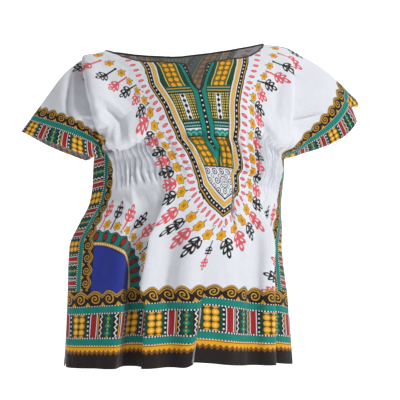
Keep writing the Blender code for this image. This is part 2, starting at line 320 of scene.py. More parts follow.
    def neck_row(self, side: Side, cuts: Array) -> Array:
        """Find the row where the panel begins at each cut: its neckline, or the shoulder line beside it."""
        rows = self.neckline.column(side.pick("front", "back"))
        return np.interp(np.abs(cuts), self.neckline.column("cut"), rows)

    def hung_cuts(self, side: Side, cuts: Array, rows: Array | float) -> Array:
        """Move the cuts to where the cloth hangs to one side of the middle.

        Args:
            side: The panel.
            cuts: Places across it.
            rows: The row of each.

        Returns:
            The moved cuts.
        """
        if side is Side.BACK:
            return cuts
        share = 1 - ease(*self.pulled_reach, np.abs(cuts))
        return cuts + self.pulls.read("sideways", rows) * share

    def fold_shape(self, side: Side, cuts: Array, row: float) -> tuple[Array, Array, Array, Array]:
        """Find how the folds and pleats move the cloth at a row.

        Args:
            side: The panel.
            cuts: Places across it.
            row: The row.

        Returns:
            How far each point moves out, along the row, and up, and the length that the pleats take in.
        """
        out, along, up, taken = (np.zeros_like(cuts) for _ in range(4))
        for fold in side.pick(self.front_folds, self.back_folds).lines():
            fade = 1 + (fold["at_hem"] - 1) * ease(fold["full"], self.length, row)
            growth = ease(fold["start"], fold["full"], row) * fade
            out += growth * fold["out"] * hump((cuts - fold["cut"]) / fold["half"])
        for pleat in side.pick(self.front_pleats, self.back_pleats).lines():
            growth = ease(pleat["start"], pleat["full"], row) * (1 - ease(pleat["fade"], pleat["gone"], row))
            lean = pleat["lean"] * np.clip((row - pleat["start"]) / (self.length - pleat["start"]), 0, 1)
            away, wall = cuts - pleat["cut"] - lean, pleat["wall"]
            corner = np.sqrt((np.abs(away) - wall) ** 2 + self.pleat_round**2)
            floor = np.sqrt(away**2 + self.pleat_round**2)
            depth = growth * (corner - floor + wall) / 2 * self.pleat_steepness
            tilt = math.radians(pleat["tilt"])
            taken += depth
            out -= depth * math.cos(tilt)
            along += depth * math.sin(tilt)
            up += growth * pleat["lift"] * ease(-wall, wall, away) * (1 - ease(0, self.lift_reach, away))
        return out, along, up, taken

    def gather_share(self, cuts: Array) -> Array:
        """Find each cut's share of the shirring.

        Args:
            cuts: Places across a panel.

        Returns:
            0 at the side borders, 1 beside them, and less towards the middle.
        """
        away = np.abs(cuts)
        inner = self.middle_share + (1 - self.middle_share) * ease(*self.shirr_inner, away)
        return inner * (1 - ease(*self.shirr_outer, away))

    def gathered_places(self, side: Side, row: float, to_middle: float, whole: float) -> Pair:
        """Fit each half of the cloth into its half of a section.

        Args:
            side: The panel.
            row: The row.
            to_middle: Length of the section from its left seam to the cloth's middle.
            whole: Length of the whole section.

        Returns:
            Cuts, and where each lies along the section.
        """
        cuts = np.linspace(-self.half_width, self.half_width, self.flat_points)
        out, _, _, taken = self.fold_shape(side, cuts, row)
        slope = np.hypot(np.gradient(out, cuts), np.gradient(taken, cuts))
        share = self.gather_share(cuts)
        places = np.zeros_like(cuts)
        middle = len(cuts) // 2
        halves = ((slice(0, middle + 1), 0.0, to_middle), (slice(middle, None), to_middle, whole))
        for half, begin, finish in halves:
            low, high = 0.0, self.most_gather
            for _ in range(self.gather_rounds):
                gather = (low + high) / 2
                flat = (1 - gather * share[half]) ** 2 - slope[half] ** 2
                step = np.sqrt(np.maximum(flat, self.least_flat))
                run = summed((step[1:] + step[:-1]) / 2 * np.diff(cuts[half]))
                low, high = (gather, high) if run[-1] > finish - begin else (low, gather)
            places[half] = begin + run * (finish - begin) / run[-1]
        return cuts, places

    def section(self, side: Side, row: float) -> tuple[Array, float]:
        """Draw a panel's half of a level section.

        Args:
            side: The panel.
            row: The row.

        Returns:
            The points from its left seam to its right seam, and where along X its middle hangs.
        """
        size = {name: float(self.sections.read(name, row)) for name in self.sections.columns[1:]}
        turn = np.linspace(-np.pi / 2, np.pi / 2, self.section_points)
        across = np.sin(turn)
        power = np.where(across < 0, size["left_point"], size["right_point"])
        bulge = side.value * size[side.pick("front", "back")] * np.clip(np.cos(turn), 0.0, 1.0) ** power
        x = (size["left_x"] + size["right_x"]) / 2 + (size["right_x"] - size["left_x"]) / 2 * across
        y = (size["left_y"] + size["right_y"]) / 2 + (size["right_y"] - size["left_y"]) / 2 * across
        side_z = np.where(across < 0, size["left_z"], size["right_z"])
        z = side_z * across**2 + size["mid_z"] * (1 - across**2)
        return np.stack([x, y + bulge, z], axis=-1), side.pick(size["mid_x"], -size["mid_x"])

    def body_row(self, side: Side, cuts: Array, row: float) -> Array:
        """Place a row of the body, at or below the armhole row.

        Args:
            side: The panel.
            cuts: Places across it.
            row: The row.

        Returns:
            The points, in mm.
        """
        points, middle_x = self.section(side, row)
        steps = np.diff(points[:, :2], axis=0)
        lengths = np.hypot(steps[:, 0], steps[:, 1])
        arc = summed(lengths)
        to_middle = float(np.interp(middle_x, points[:, 0], arc))
        flat_cuts, places = self.gathered_places(side, row, to_middle, float(arc[-1]))
        at = np.interp(cuts, flat_cuts, places)
        ways = read_path(at, (arc[1:] + arc[:-1]) / 2, steps / lengths[:, None])
        along_x, along_y = (ways / np.hypot(ways[:, 0], ways[:, 1])[:, None]).T
        out, along, up, _ = self.fold_shape(side, cuts, row)
        side_share = ease(self.half_width - self.side_reach, self.half_width, np.abs(cuts))
        spread = self.slit_spread * ease(self.slit_top, self.length, row) * side_share
        x, y, z = read_path(at, arc, points).T
        sign = side.value
        return np.stack(
            [
                x - sign * along_y * out + along_x * along,
                y + sign * along_x * out + along_y * along + sign * spread,
                z + up,
            ],
            axis=-1,
        )

    def upper_points(self, side: Side, cuts: Array, rows: Array, armhole_row: Array) -> Array:
        """Place points between the shoulder line and the armhole row.

        Args:
            side: The panel.
            cuts: Places across it.
            rows: The row of each.
            armhole_row: The points of the armhole row at the same cuts.

        Returns:
            The points, in mm.
        """
        down = rows / self.armhole
        turn, peak = self.bulges.read("turn", cuts), self.bulges.read("peak", cuts)
        sleeve = np.clip(down / turn, 0, 1) ** self.sleeve_reach_power
        roundness = self.bulges.read("roundness", cuts)
        yoke = (
            np.sin(np.pi * down / 2) ** self.yoke_reach_power,
            1 - (1 - down) ** self.yoke_depth_power,
            down**self.yoke_drop_power,
        )
        reach = np.stack([roundness * sleeve + (1 - roundness) * part for part in yoke], axis=-1)
        ridge = np.stack([self.shoulders.read(axis, cuts) for axis in "xyz"], axis=-1)
        depth = side.value * self.bulges.read(side.pick("front", "back"), cuts)
        bulge = np.stack([self.bulges.read("x", cuts), depth, self.bulges.read("z", cuts)], axis=-1)
        blouse = self.bulges.read(side.pick("front_blouse", "back_blouse"), cuts)
        puff = blouse * hump((down - self.blouse_middle) / self.blouse_half)
        round_ = np.sin(np.pi * np.clip(down, 0, 1) ** (math.log(0.5) / np.log(peak)))
        aim = cuts / self.half_width * np.pi / 2
        outward = np.stack([np.sin(aim), side.value * np.cos(aim / 2), -down], axis=-1)
        return (
            ridge
            + (armhole_row - ridge) * reach
            + bulge * round_[..., None]
            + outward * puff[..., None]
        )

    def grid(self, side: Side, cuts: Array, shares: Array, skirt_rows: Array) -> Pair:
        """Place a whole panel's middle surface.

        Args:
            side: The panel.
            cuts: Places across it.
            shares: Places down the upper part, as shares of the way to the armhole row.
            skirt_rows: Rows of the part below it.

        Returns:
            The points, and the row of each.
        """
        fine_cuts = np.linspace(-self.half_width, self.half_width, self.armhole_points)
        fine_row = self.body_row(side, fine_cuts, self.armhole)
        top = self.neck_row(side, cuts)
        points, rows_all = [], []
        for share in shares:
            rows = top + share * (self.armhole - top)
            hung = self.hung_cuts(side, cuts, rows)
            points.append(self.upper_points(side, hung, rows, read_path(hung, fine_cuts, fine_row)))
            rows_all.append(rows)
        for row in skirt_rows:
            points.append(self.body_row(side, self.hung_cuts(side, cuts, row), row))
            rows_all.append(np.full_like(cuts, row))
        return np.array(points), np.array(rows_all)


@dataclass(frozen=True)
class Shirring:
    """The rows of elastic at the waist and the gathers that they draw up."""

    first_row: float = 170.0
    pitch: float = 12.5
    count: int = 4
    pucker: float = 15.0
    height: float = 9.2
    sharpness: float = 0.7
    level: float = 0.66
    pinched: float = 0.85
    pinch_past: float = 0.6
    rise: float = 16.0
    fall: float = 11.0
    pillow: float = 0.9
    drift: float = 0.3
    drift_waves: Range = (60.0, 46.0)
    swell: float = 0.35
    swell_waves: Range = (60.0, 40.0)
    fold_pitch: float = 34.0
    fold_height: float = 1.4
    fold_rise: float = 16.0
    fold_fall: float = 24.0
    fold_wander: float = 0.5
    wander_waves: Range = (120.0, 160.0)
    fold_swell: float = 0.4
    fold_swell_waves: Range = (90.0, 90.0)

    @property
    def last_row(self) -> float:
        """The row of the lowest elastic."""
        return self.first_row + self.pitch * (self.count - 1)

    def fade(self, rows: Array, rise: float, fall: float) -> Array:
        """Give 1 on the elastic and less above and below it."""
        above, below = np.maximum(self.first_row - rows, 0) / rise, np.maximum(rows - self.last_row, 0) / fall
        return np.exp(-(above**2)) * np.exp(-(below**2))

    def relief(self, share: Array, cuts: Array, rows: Array, seed: int) -> Array:
        """Raise the gathers.

        Args:
            share: Each point's share of the shirring.
            cuts: Cuts of the points.
            rows: Rows of the points.
            seed: Seed of their unevenness.

        Returns:
            How far each point stands out, in mm.
        """
        band = (rows - self.first_row) / self.pitch
        drift = self.drift * ripple(cuts, rows, *self.drift_waves, seed)
        ridge = np.abs(np.sin(np.pi * (cuts / self.pucker + drift))) ** self.sharpness - self.level
        inside = np.clip(np.abs(np.sin(np.pi * band)), 0, 1)
        on = (rows > self.first_row) & (rows < self.last_row)
        past = 1 - self.pinch_past * ease(0, 1, 1 - np.abs(band))
        pinch = self.pinched + (1 - self.pinched) * np.where(on, inside, past)
        swell = 1 + self.swell * ripple(cuts, rows, *self.swell_waves, seed + 1)
        small = self.height * ridge * pinch * swell * self.fade(rows, self.rise, self.fall)
        pillow = self.pillow * np.where(on, inside, 0.0)
        wander = self.fold_wander * ripple(cuts, rows, *self.wander_waves, seed + 2)
        large = self.fold_height * np.sin(2 * np.pi * (cuts / self.fold_pitch + wander))
        large = large * self.fade(rows, self.fold_rise, self.fold_fall)
        large = large * (1 + self.fold_swell * ripple(cuts, rows, *self.fold_swell_waves, seed + 3))
        return share * (small + pillow + large)


@dataclass(frozen=True)
class Creases:
    """Troughs, ridges and steps pressed into the cloth, each along a bent line of its flat cut."""

    front: Table = Table(
        CREASE_COLUMNS,
        (
            (-149, 4, -231, 134, 3.2, 4, 0, 24, 7), (-183, 8, -236, 62, 4.5, -6, 0, 0, 0),
            (-176, 8, -226, 66, 6, 2, 0, 0, 0), (-204, 92, -166, 118, 4, -3.4, 2, 0, 1),
            (-194, 72, -104, 150, 6, 3.0, 12, 6, 3), (-186, 112, -130, 150, 4, -2.6, 3, 0, 1),
            (-178, 128, -124, 160, 4, 2.2, 4, 2, 2), (-226, 84, -206, 122, 4, 2.4, -3, 3, 2),
            (-136, 136, -133, 164, 3.4, 2.2, -1, 0, 0), (-121, 140, -118, 166, 3.4, 2.0, 1, 0, 0),
            (-248, 103, -190, 131, 6, 5, -3, 7, 3), (-196, 128, -116, 150, 7, 5, 6, 7, 4),
            (-252, 130, -186, 154, 8, -9, 0, 0, -4), (-192, 152, -134, 166, 6, -6, 0, 0, -2),
            (-150, 58, -134, 112, 8, -2.0, 3, 0, 0), (-218, 216, -164, 219, 7, 3.6, 2, 0, 2),
            (-160, 220, -116, 215, 6, 3.2, 2, 0, 2), (-172, 205, -178, 262, 6, 2.6, 3, 0, 1),
            (-152, 212, -150, 268, 5, -2.4, -2, 0, 0), (-130, 205, -112, 262, 7, 2.2, 2, 0, 0),
            (-54, 300, -42, 372, 9, -3.0, 3, 0, 0), (30, 240, 66, 372, 11, -3.6, 4, 0, 0),
            (96, 230, 118, 330, 9, 2.4, -3, 0, 0), (163, 38, 194, 130, 5, 3.0, 7, -19, -6),
            (196, 122, 236, 84, 4, -4.2, 2, 0, -2), (196, 108, 236, 72, 7, 2.2, 3, 0, 0),
            (198, 134, 230, 160, 5, -2.4, 2, -4, 0), (142, 60, 152, 128, 9, -2.0, -3, 0, 0),
            (120, 134, 192, 150, 5, 3.4, 3, 4, 5), (250, 26, 284, 20, 5, -3.0, 1, -3, 0),
            (281, 12, 281, 32, 8, -4, 0, 0, 15),
        ),
    )
    back: Table = Table(
        CREASE_COLUMNS,
        (
            (-172, 14, -236, 120, 5, 2.4, 6, 11, 5), (-200, 20, -240, 84, 6, -2.2, 0, 0, 0),
            (-196, 84, -146, 118, 5, -3.0, -4, 0, 1), (-224, 126, -104, 152, 6, 4, -4, 4, 7),
            (-104, 152, 10, 158, 7, 3, -3, 3, 5), (20, 158, 132, 151, 7, 3.2, -4, 3, 6),
            (-120, 40, -96, 128, 11, -2.2, 3, 0, 0), (-30, 60, -48, 136, 12, 1.8, -4, 0, 0),
            (60, 70, 84, 138, 10, -2.0, 3, 0, 0), (-176, 206, -186, 286, 7, 2.4, 3, 0, 1),
            (-130, 212, -124, 300, 6, -2.6, -2, 0, 0), (-70, 214, -62, 330, 9, 2.6, 4, 0, 0),
            (70, 216, 88, 320, 8, -2.4, 3, 0, 0), (150, 210, 168, 290, 7, 2.4, -3, 0, 0),
            (176, 24, 212, 122, 5, 2.2, -6, -11, -5), (198, 112, 238, 78, 5, -3.0, 3, 0, -1),
        ),
    )
    reach: float = 7.0
    taper_share: float = 0.8
    taper_power: float = 0.7
    end_reach: float = 1.5
    step_sharpness: float = 1.5

    def relief(self, side: Side, cuts: Array, rows: Array) -> Array:
        """Sum the creases.

        Args:
            side: The panel.
            cuts: Cuts of the points.
            rows: Rows of the points.

        Returns:
            How far each point moves across, down and out, in mm.
        """
        total = np.zeros((*np.broadcast(cuts, rows).shape, 3))
        for line in side.pick(self.front, self.back).lines():
            run = np.array([line["to_cut"] - line["cut"], line["to_row"] - line["row"]])
            length = float(np.hypot(*run))
            run = run / length
            away_cut, away_row = cuts - line["cut"], rows - line["row"]
            share = (away_cut * run[0] + away_row * run[1]) / length
            off = away_row * run[0] - away_cut * run[1]
            off = off - line["bend"] * 4 * np.clip(share, 0, 1) * np.clip(1 - share, 0, 1)
            past = np.maximum(np.abs(share - 0.5) - 0.5, 0) * length
            whole = share * self.taper_share + (1 - self.taper_share) / 2
            taper = np.sin(np.pi * np.clip(whole, 0, 1)) ** self.taper_power
            taper = taper * np.exp(-((past / (self.end_reach * line["width"])) ** 2))
            near = np.exp(-((off / line["width"]) ** 2))
            far = np.exp(-((off / (self.reach * line["width"])) ** 2))
            drop = -line["step"] / 2 * np.tanh(self.step_sharpness * off / line["width"]) * far
            shift = line["over"] * near
            total[..., 0] -= run[1] * shift * taper
            total[..., 1] += run[0] * shift * taper
            total[..., 2] += (line["height"] * near + drop) * taper
        return total


@dataclass(frozen=True)
class YokeShape:
    """The shield of the print on the yoke: half of its outline, from the top down to its point."""

    outline: Table = Table(
        ("row", "cut"),
        (
            (-70, 95), (0, 91), (47, 88), (93, 82), (122, 70), (151, 61), (178, 55), (205, 51),
            (236, 48), (257, 26), (273, 0),
        ),
    )
    outline_points: int = 900
    corner_points: int = 25
    chunk: int = 20000
    slack: float = 0.6
    wide_spaces: int = 4

    def dense(self) -> Pair:
        """Follow the outline closely.

        Returns:
            The points as cut and row, from the outline's point up, and the outward normal at each.
        """
        rows, cuts = self.outline.column("row")[::-1], self.outline.column("cut")[::-1]
        arc = summed(np.hypot(np.diff(rows), np.diff(cuts)))
        fine = np.linspace(0, arc[-1], self.outline_points)
        points = read_path(fine, arc, np.stack([cuts, rows], axis=-1))
        tangents = unit(np.gradient(points, axis=0))
        return points, np.stack([-tangents[:, 1], tangents[:, 0]], axis=-1)

    def coordinates(self, cuts: Array, rows: Array) -> Pair:
        """Measure points from the outline.

        Args:
            cuts: Cuts of the points.
            rows: Rows of the points.

        Returns:
            How far along the outline the nearest point of it is, and how far inside it each lies.
        """
        points, _ = self.dense()
        step = float(np.linalg.norm(points[1] - points[0]))
        flat = np.stack([np.abs(cuts).ravel(), rows.ravel()], axis=-1)
        along, depth = np.empty(len(flat)), np.empty(len(flat))
        for start in range(0, len(flat), self.chunk):
            chunk = slice(start, start + self.chunk)
            away = flat[chunk, None] - points
            squares = away[..., 0] ** 2 + away[..., 1] ** 2
            nearest = np.argmin(squares, axis=1)
            along[chunk] = nearest * step
            depth[chunk] = np.sqrt(squares[np.arange(len(nearest)), nearest])
        edge = self.outline.read("cut", flat[:, 1])
        inside = (flat[:, 0] < edge) & (flat[:, 1] < self.outline.rows[-1][0])
        depth = np.where(inside, depth, -depth)
        return along.reshape(np.shape(cuts)), depth.reshape(np.shape(cuts))

    def around(self, offset: float, pitch: float, start: float, wider: float = 0.0) -> Pair:
        """Space places evenly along a line outside the outline.

        Args:
            offset: How far outside the line runs.
            pitch: Space between two places.
            start: How far along the first one is from the middle.
            wider: How much wider, as a share, the first few spaces are.

        Returns:
            The places as cut and row, and the outward direction at each.
        """
        points, normals = self.dense()
        turn = np.linspace(0, 1, self.corner_points)[:, None]
        round_point = unit((1 - turn) * DOWN + turn * normals[0]) * offset + points[0]
        path = np.concatenate([round_point, points + normals * offset])
        _, depth = self.coordinates(path[:, 0], path[:, 1])
        path = path[-depth > offset - self.slack]
        arc = summed(np.hypot(*np.diff(path, axis=0).T))
        steps = np.arange(int(arc[-1] / pitch) + 1)
        wanted = start + pitch * (steps + wider * np.minimum(steps, self.wide_spaces))
        wanted = wanted[wanted < arc[-1]]
        places = read_path(wanted, arc, path)
        nearest = np.argmin(np.sum((places[:, None] - points[None]) ** 2, axis=-1), axis=1)
        return places, unit(places - points[nearest])


@dataclass(frozen=True)
class CornerShape:
    """The half-moon of the print beside each side border, above the hem border."""

    centre_cut: float = 242.0
    centre_row: float = 367.0
    squeeze: float = 0.9

    def around(self, radius: float, first: float, last: float, count: int) -> Pair:
        """Space places round the half-moon.

        Args:
            radius: Distance of the places from the centre, up the cloth.
            first: Angle of the first one, in degrees above the row of the centre.
            last: Angle of the last one.
            count: How many.

        Returns:
            The places as cut and row, and the outward direction at each.
        """
        turn = np.radians(np.linspace(first, last, count))
        across, up = np.cos(turn) / self.squeeze, np.sin(turn)
        places = np.stack([self.centre_cut - radius * across, self.centre_row - radius * up], axis=-1)
        return places, unit(np.stack([-np.cos(turn) * self.squeeze, -np.sin(turn)], axis=-1))


@dataclass(frozen=True)
class Ring:
    """A ring of motifs beside the yoke: its line, its spaces and how far it fans out."""

    reach: Reach
    offset: float
    pitch: float
    start: float
    fan: float
    wider: float = 0.0


@dataclass(frozen=True)
class Placing:
    """One motif: its kind, place, outward direction, reach and size."""

    motif: Motif
    place: Array
    outward: Array
    reach: Reach
    size: float = 1.0


@dataclass(frozen=True)
class PrintPlan:
    """Where the parts of the print lie on the flat cloth, given as coordinates for its inks."""

    form: WornForm
    yoke: YokeShape = YokeShape()
    corner: CornerShape = CornerShape()
    hem_depth: float = 104.0
    side_depth: float = 46.0
    side_scale: float = 1.3
    side_edge: float = 46.5
    petals: Ring = Ring((4.6, -6.8, 6.8), offset=10.0, pitch=9.4, start=0.0, fan=7.0)
    sprigs: Ring = Ring((9.5, -20.0, 25.0), offset=39.0, pitch=17.4, start=22.0, fan=32.0, wider=0.3)
    blossoms: Ring = Ring((6.6, -9.5, 6.6), offset=29.0, pitch=17.4, start=11.5, fan=19.0, wider=0.3)
    short_stem: Reach = (9.5, -14.5, 25.0)
    short_stem_rows: Range = (95.0, 190.0)
    tip_sprigs: tuple[tuple[Motif, float], ...] = ((Motif.DARK_SPRIG, 41.0), (Motif.RED_SPRIG, 57.0))
    tip_reach: Reach = (8.0, -10.0, 15.0)
    tip_size: float = 0.6
    corner_sprigs: tuple[float, float, float, int] = (107.0, 84.0, 0.0, 9)
    corner_sprig_reach: Reach = (9.5, -18.0, 25.0)
    corner_blossoms: tuple[float, float, float, int] = (96.0, 79.0, 5.0, 8)
    corner_blossom_reach: Reach = (7.4, -7.4, 7.4)
    fan: Table = Table(
        ("row", "share"),
        ((10, 0.8), (35, 1.0), (75, 0.5), (108, -0.3), (180, -0.2), (225, -0.12)),
    )
    spread_row: float = 66.0
    spread: float = 0.33
    spread_fan: float = 19.0
    growth_rows: Range = (160.0, 235.0)
    grown: float = 1.22

    def ring(self, ring: Ring) -> list[Pair]:
        """Place a ring of motifs, wider towards the shoulder line and narrower at the waist.

        Args:
            ring: The ring.

        Returns:
            Each motif's place and outward direction.
        """
        places, outward = self.yoke.around(ring.offset, ring.pitch, ring.start, ring.wider)
        far = ring.fan * np.interp(places[:, 1:], self.fan.column("row"), self.fan.column("share"))
        spread = self.spread * min(1.0, ring.fan / self.spread_fan)
        spread = spread * np.clip(self.spread_row - places[:, 1], 0.0, None)
        return list(zip(places + outward * far - spread[:, None] * DOWN, outward))

    def grow(self, motif: Motif, place: Array, outward: Array, reach: Reach) -> Placing:
        """Place a motif of a ring, larger round the point of the yoke."""
        size = float(np.interp(place[1], self.growth_rows, (1.0, self.grown)))
        return Placing(motif, place, outward, tuple(size * part for part in reach), size)

    def placings(self) -> list[Placing]:
        """Set out the petals, blossoms and sprigs of one half of a panel, the last on top.

        Returns:
            The motifs.
        """
        colours = (Motif.DARK_SPRIG, Motif.RED_SPRIG)
        low, high = self.short_stem_rows
        plan = [Placing(Motif.PETAL, *spot, self.petals.reach) for spot in self.ring(self.petals)]
        for k, (place, outward) in enumerate(self.ring(self.sprigs)):
            reach = self.short_stem if low < place[1] < high else self.sprigs.reach
            plan.append(self.grow(colours[k % 2], place, outward, reach))
        plan += [self.grow(Motif.BLOSSOM, *spot, self.blossoms.reach) for spot in self.ring(self.blossoms)]
        tip = self.yoke.outline.rows[-1][0]
        for motif, below in self.tip_sprigs:
            plan.append(Placing(motif, (tip + below) * DOWN, DOWN, self.tip_reach, self.tip_size))
        for k, spot in enumerate(zip(*self.corner.around(*self.corner_sprigs))):
            plan.append(Placing(colours[(k + 1) % 2], *spot, self.corner_sprig_reach))
        for spot in zip(*self.corner.around(*self.corner_blossoms)):
            plan.append(Placing(Motif.BLOSSOM, *spot, self.corner_blossom_reach))
        return plan

    def border(self, cuts: Array, rows: Array) -> Array:
        """Measure the faces' corners along and up the border that each face lies in.

        Args:
            cuts: Cuts of each face's corners.
            rows: Rows of each face's corners.

        Returns:
            The two coordinates of each corner.
        """
        at_hem = rows.mean(axis=1, keepdims=True) > self.form.length - self.hem_depth
        from_side = self.form.half_width - np.abs(cuts)
        along = np.where(at_hem, cuts, rows * self.side_scale)
        up = np.where(at_hem, self.form.length - rows, self.side_edge + from_side * self.side_scale)
        return np.stack([along, up], axis=-1)

    def motifs(self, cuts: Array, rows: Array) -> Pair:
        """Give each face the motif that it lies in.

        Args:
            cuts: Cuts of each face's corners.
            rows: Rows of each face's corners.

        Returns:
            Each corner's place in its face's motif, and each face's motif number.
        """
        local = np.zeros((*cuts.shape, 2))
        kind = np.zeros(len(cuts))
        away = np.abs(cuts)
        middle_cut, middle_row = away.mean(axis=1), rows.mean(axis=1)
        clear = middle_cut < self.form.half_width - self.side_depth
        nearest = np.full(len(cuts), 1.0)
        for placing in self.placings():
            (x0, y0), (nx, ny) = placing.place, placing.outward
            half, low, high = placing.reach
            x = (middle_cut - x0) * ny - (middle_row - y0) * nx
            y = (middle_cut - x0) * nx + (middle_row - y0) * ny
            off = np.maximum(np.abs(x) / half, np.abs(y - (low + high) / 2) / ((high - low) / 2))
            take = clear & (off < 1.0)
            if placing.motif in (Motif.DARK_SPRIG, Motif.RED_SPRIG):
                take &= (kind == 0) | (off < nearest)
            nearest = np.where(take, off, nearest)
            kind = np.where(take, placing.motif.value, kind)
            corner_x = (away - x0) * ny - (rows - y0) * nx
            corner_y = (away - x0) * nx + (rows - y0) * ny
            place = np.stack([corner_x, corner_y], axis=-1) / placing.size
            local = np.where(take[:, None, None], place, local)
        return local, kind


def put(name: str, data: bpy.types.ID) -> Thing:
    """Put a mesh, a lamp or a camera into the scene.

    Args:
        name: Its name.
        data: What it is made of.

    Returns:
        The new object.
    """
    thing = bpy.data.objects.new(name, data)
    bpy.context.scene.collection.objects.link(thing)
    return thing


def ring_faces(count: int, sides: int) -> list[list[int]]:
    """Number the faces of a tube whose last ring joins its first.

    Args:
        count: How many rings of points it has.
        sides: Points in each ring.

    Returns:
        The faces.
    """
    number = np.arange(count * sides).reshape(count, sides)
    after = np.roll(number, -1, axis=0)
    corners = (number, after, np.roll(after, -1, axis=1), np.roll(number, -1, axis=1))
    return np.stack(corners, axis=-1).reshape(-1, 4).tolist()


def make_piece(name: str, points: Array, faces: list[list[int]], material: Material) -> Thing:
    """Make a smooth piece whose sharp turns stay sharp.

    Args:
        name: Its name.
        points: Its points, in mm.
        faces: Its faces.
        material: Its finish.

    Returns:
        The new object.
    """
    mesh = bpy.data.meshes.new(name)
    mesh.from_pydata((np.asarray(points, float).reshape(-1, 3) * MM).tolist(), [], faces)
    mesh.update()
    mesh.shade_smooth()
    mesh.set_sharp_from_angle(angle=math.radians(SHARP_DEGREES))
    mesh.materials.append(material)
    return put(name, mesh)


def declare(piece: Thing, slot: Slot, node: str) -> None:
    """Hang a piece on the body, hide the solid that it stands for, and log its faces and material slot.

    Args:
        piece: The piece.
        slot: The record's material slot.
        node: The solid that it stands for.
    """
    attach(piece, BODY)
    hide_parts(node)
    LOG.info("%s: %d faces, %s", piece.name, len(piece.data.polygons), slot.value)


@dataclass(frozen=True)
class ClothPanel:
    """One printed panel, cut in one with its short sleeves."""

    side: Side
    name: str
    node: str
    form: WornForm
    plan: PrintPlan
    creases: Creases
    shirring: Shirring = Shirring()
    columns: int = 266
    upper_rows: int = 66
    skirt_rows: int = 114
    thickness: float = 0.55
    seam_gap: float = 0.06
    hem_turn: float = 11.0
    hem_rise: float = 0.45
    hem_edge: float = 1.5
    cuff_margin: float = 4.0
    neck_edge: float = 0.5
    seam_sink: float = 1.1
    seam_width: float = 2.2
    seeds: tuple[int, int] = (11, 31)
    shirr_density: float = 0.35
    spacing_points: int = 2001
    crumple: float = 0.55
    crumple_waves: Range = (75.0, 110.0)
    wrinkle: float = 0.16
    wrinkle_waves: Range = (24.0, 30.0)
    calm: float = 0.6
    calm_half: float = 90.0
    calm_row: float = 150.0
    armhole_margin: float = 6.0
    neck_margin: float = 1.5
    flat_at_seam: float = 14.0
    flat_at_neck: float = 9.0

    def cuts(self) -> Array:
        """Space the columns of the mesh, closest where the cloth is shirred.

        Returns:
            The cut of each.
        """
        even = np.linspace(-self.form.half_width, self.form.half_width, self.spacing_points)
        weight = 1.0 + self.shirr_density * self.form.gather_share(even)
        run = summed((weight[1:] + weight[:-1]) / 2)
        return np.interp(np.linspace(0, run[-1], self.columns + 1), run, even)

    def rows_below(self) -> Array:
        """Space the rows of the skirt, with one of them along the top of the hem border.

        Returns:
            The rows.
        """
        line = self.form.length - self.plan.hem_depth
        above = round(self.skirt_rows * (line - self.form.armhole) / (self.form.length - self.form.armhole))
        upper = np.linspace(self.form.armhole, line, above, endpoint=False)
        return np.concatenate([upper, np.linspace(line, self.form.length, self.skirt_rows - above + 1)])

    def relief(self, cuts: Array, rows: Array) -> Array:
        """Sum everything that lifts the cloth off its smooth form.

        Args:
            cuts: Cuts of the points.
            rows: Rows of the points.

        Returns:
            How far each point moves across, down and out, in mm.
        """
        seed = self.side.pick(*self.seeds)
        share = self.form.gather_share(cuts)
        total = self.shirring.relief(share, cuts, rows, seed)
        calm = 1 - self.calm * hump(cuts / self.calm_half) * (rows < self.calm_row)
        total = total + self.crumple * calm * ripple(cuts, rows, *self.crumple_waves, seed + 7)
        total = total + self.wrinkle * ripple(cuts, rows, *self.wrinkle_waves, seed + 8)
        push = self.creases.relief(self.side, cuts, rows)
        push[..., 2] += total
        from_top = np.minimum(rows, self.form.armhole - rows) - self.armhole_margin
        from_seam = np.maximum(self.form.half_width - np.abs(cuts), from_top)
        from_neck = rows - self.form.neck_row(self.side, cuts) + self.neck_margin
        share = ease(0.0, self.flat_at_seam, from_seam) * ease(0.0, self.flat_at_neck, from_neck)
        return push * share[..., None]

    def edge_thickness(self, cuts: Array, rows: Array) -> Array:
        """Find how much thicker the cloth is where its hem is turned up.

        Args:
            cuts: Cuts of the points.
            rows: Rows of the points.

        Returns:
            The added thickness at each, in mm.
        """
        from_hem = self.form.length - rows
        from_cuff = self.form.half_width - np.abs(cuts) + FAR * (rows > self.form.armhole - self.cuff_margin)
        turn, edge = self.hem_turn, self.hem_edge
        return self.hem_rise * (1 - ease(turn - edge, turn + edge, np.minimum(from_hem, from_cuff)))

    def sheets(self) -> tuple[Array, Array, Array, Array]:
        """Work out the panel's two faces.

        Returns:
            The outer points, the inner points, and the cut and row of each.
        """
        cuts = self.cuts()
        shares = np.linspace(0, 1, self.upper_rows, endpoint=False)
        points, rows = self.form.grid(self.side, cuts, shares, self.rows_below())
        grid_cuts = np.broadcast_to(cuts, rows.shape)
        down, across = unit(np.gradient(points, axis=0)), unit(np.gradient(points, axis=1))
        push = self.relief(grid_cuts, rows)[..., None]
        out = self.normals(points)
        points = points + across * push[..., 0, :] + down * push[..., 1, :] + out * push[..., 2, :]
        normals = self.normals(points)
        from_side = self.form.half_width - np.abs(grid_cuts)
        in_neck = np.abs(grid_cuts) < self.form.neckline.rows[-1][0] - self.neck_edge
        sewn = np.minimum(from_side + FAR * (rows > self.form.slit_top), rows + FAR * in_neck)
        sink = self.seam_sink * np.exp(-((sewn / self.seam_width) ** 2))
        points = points - normals * sink[..., None]
        half = self.thickness / 2 + self.edge_thickness(grid_cuts, rows)[..., None] / 2
        clearance = self.seam_gap / 2 + half * np.abs(normals[..., 1:2])
        middle = points + np.array([0.0, self.side.value, 0.0]) * clearance
        return middle + normals * half, middle - normals * half, grid_cuts, rows

    def normals(self, points: Array) -> Array:
        """Give a unit normal for each point of the grid, to the cloth's outer side."""
        down, across = np.gradient(points, axis=0), np.gradient(points, axis=1)
        return -self.side.value * unit(np.cross(down, across))

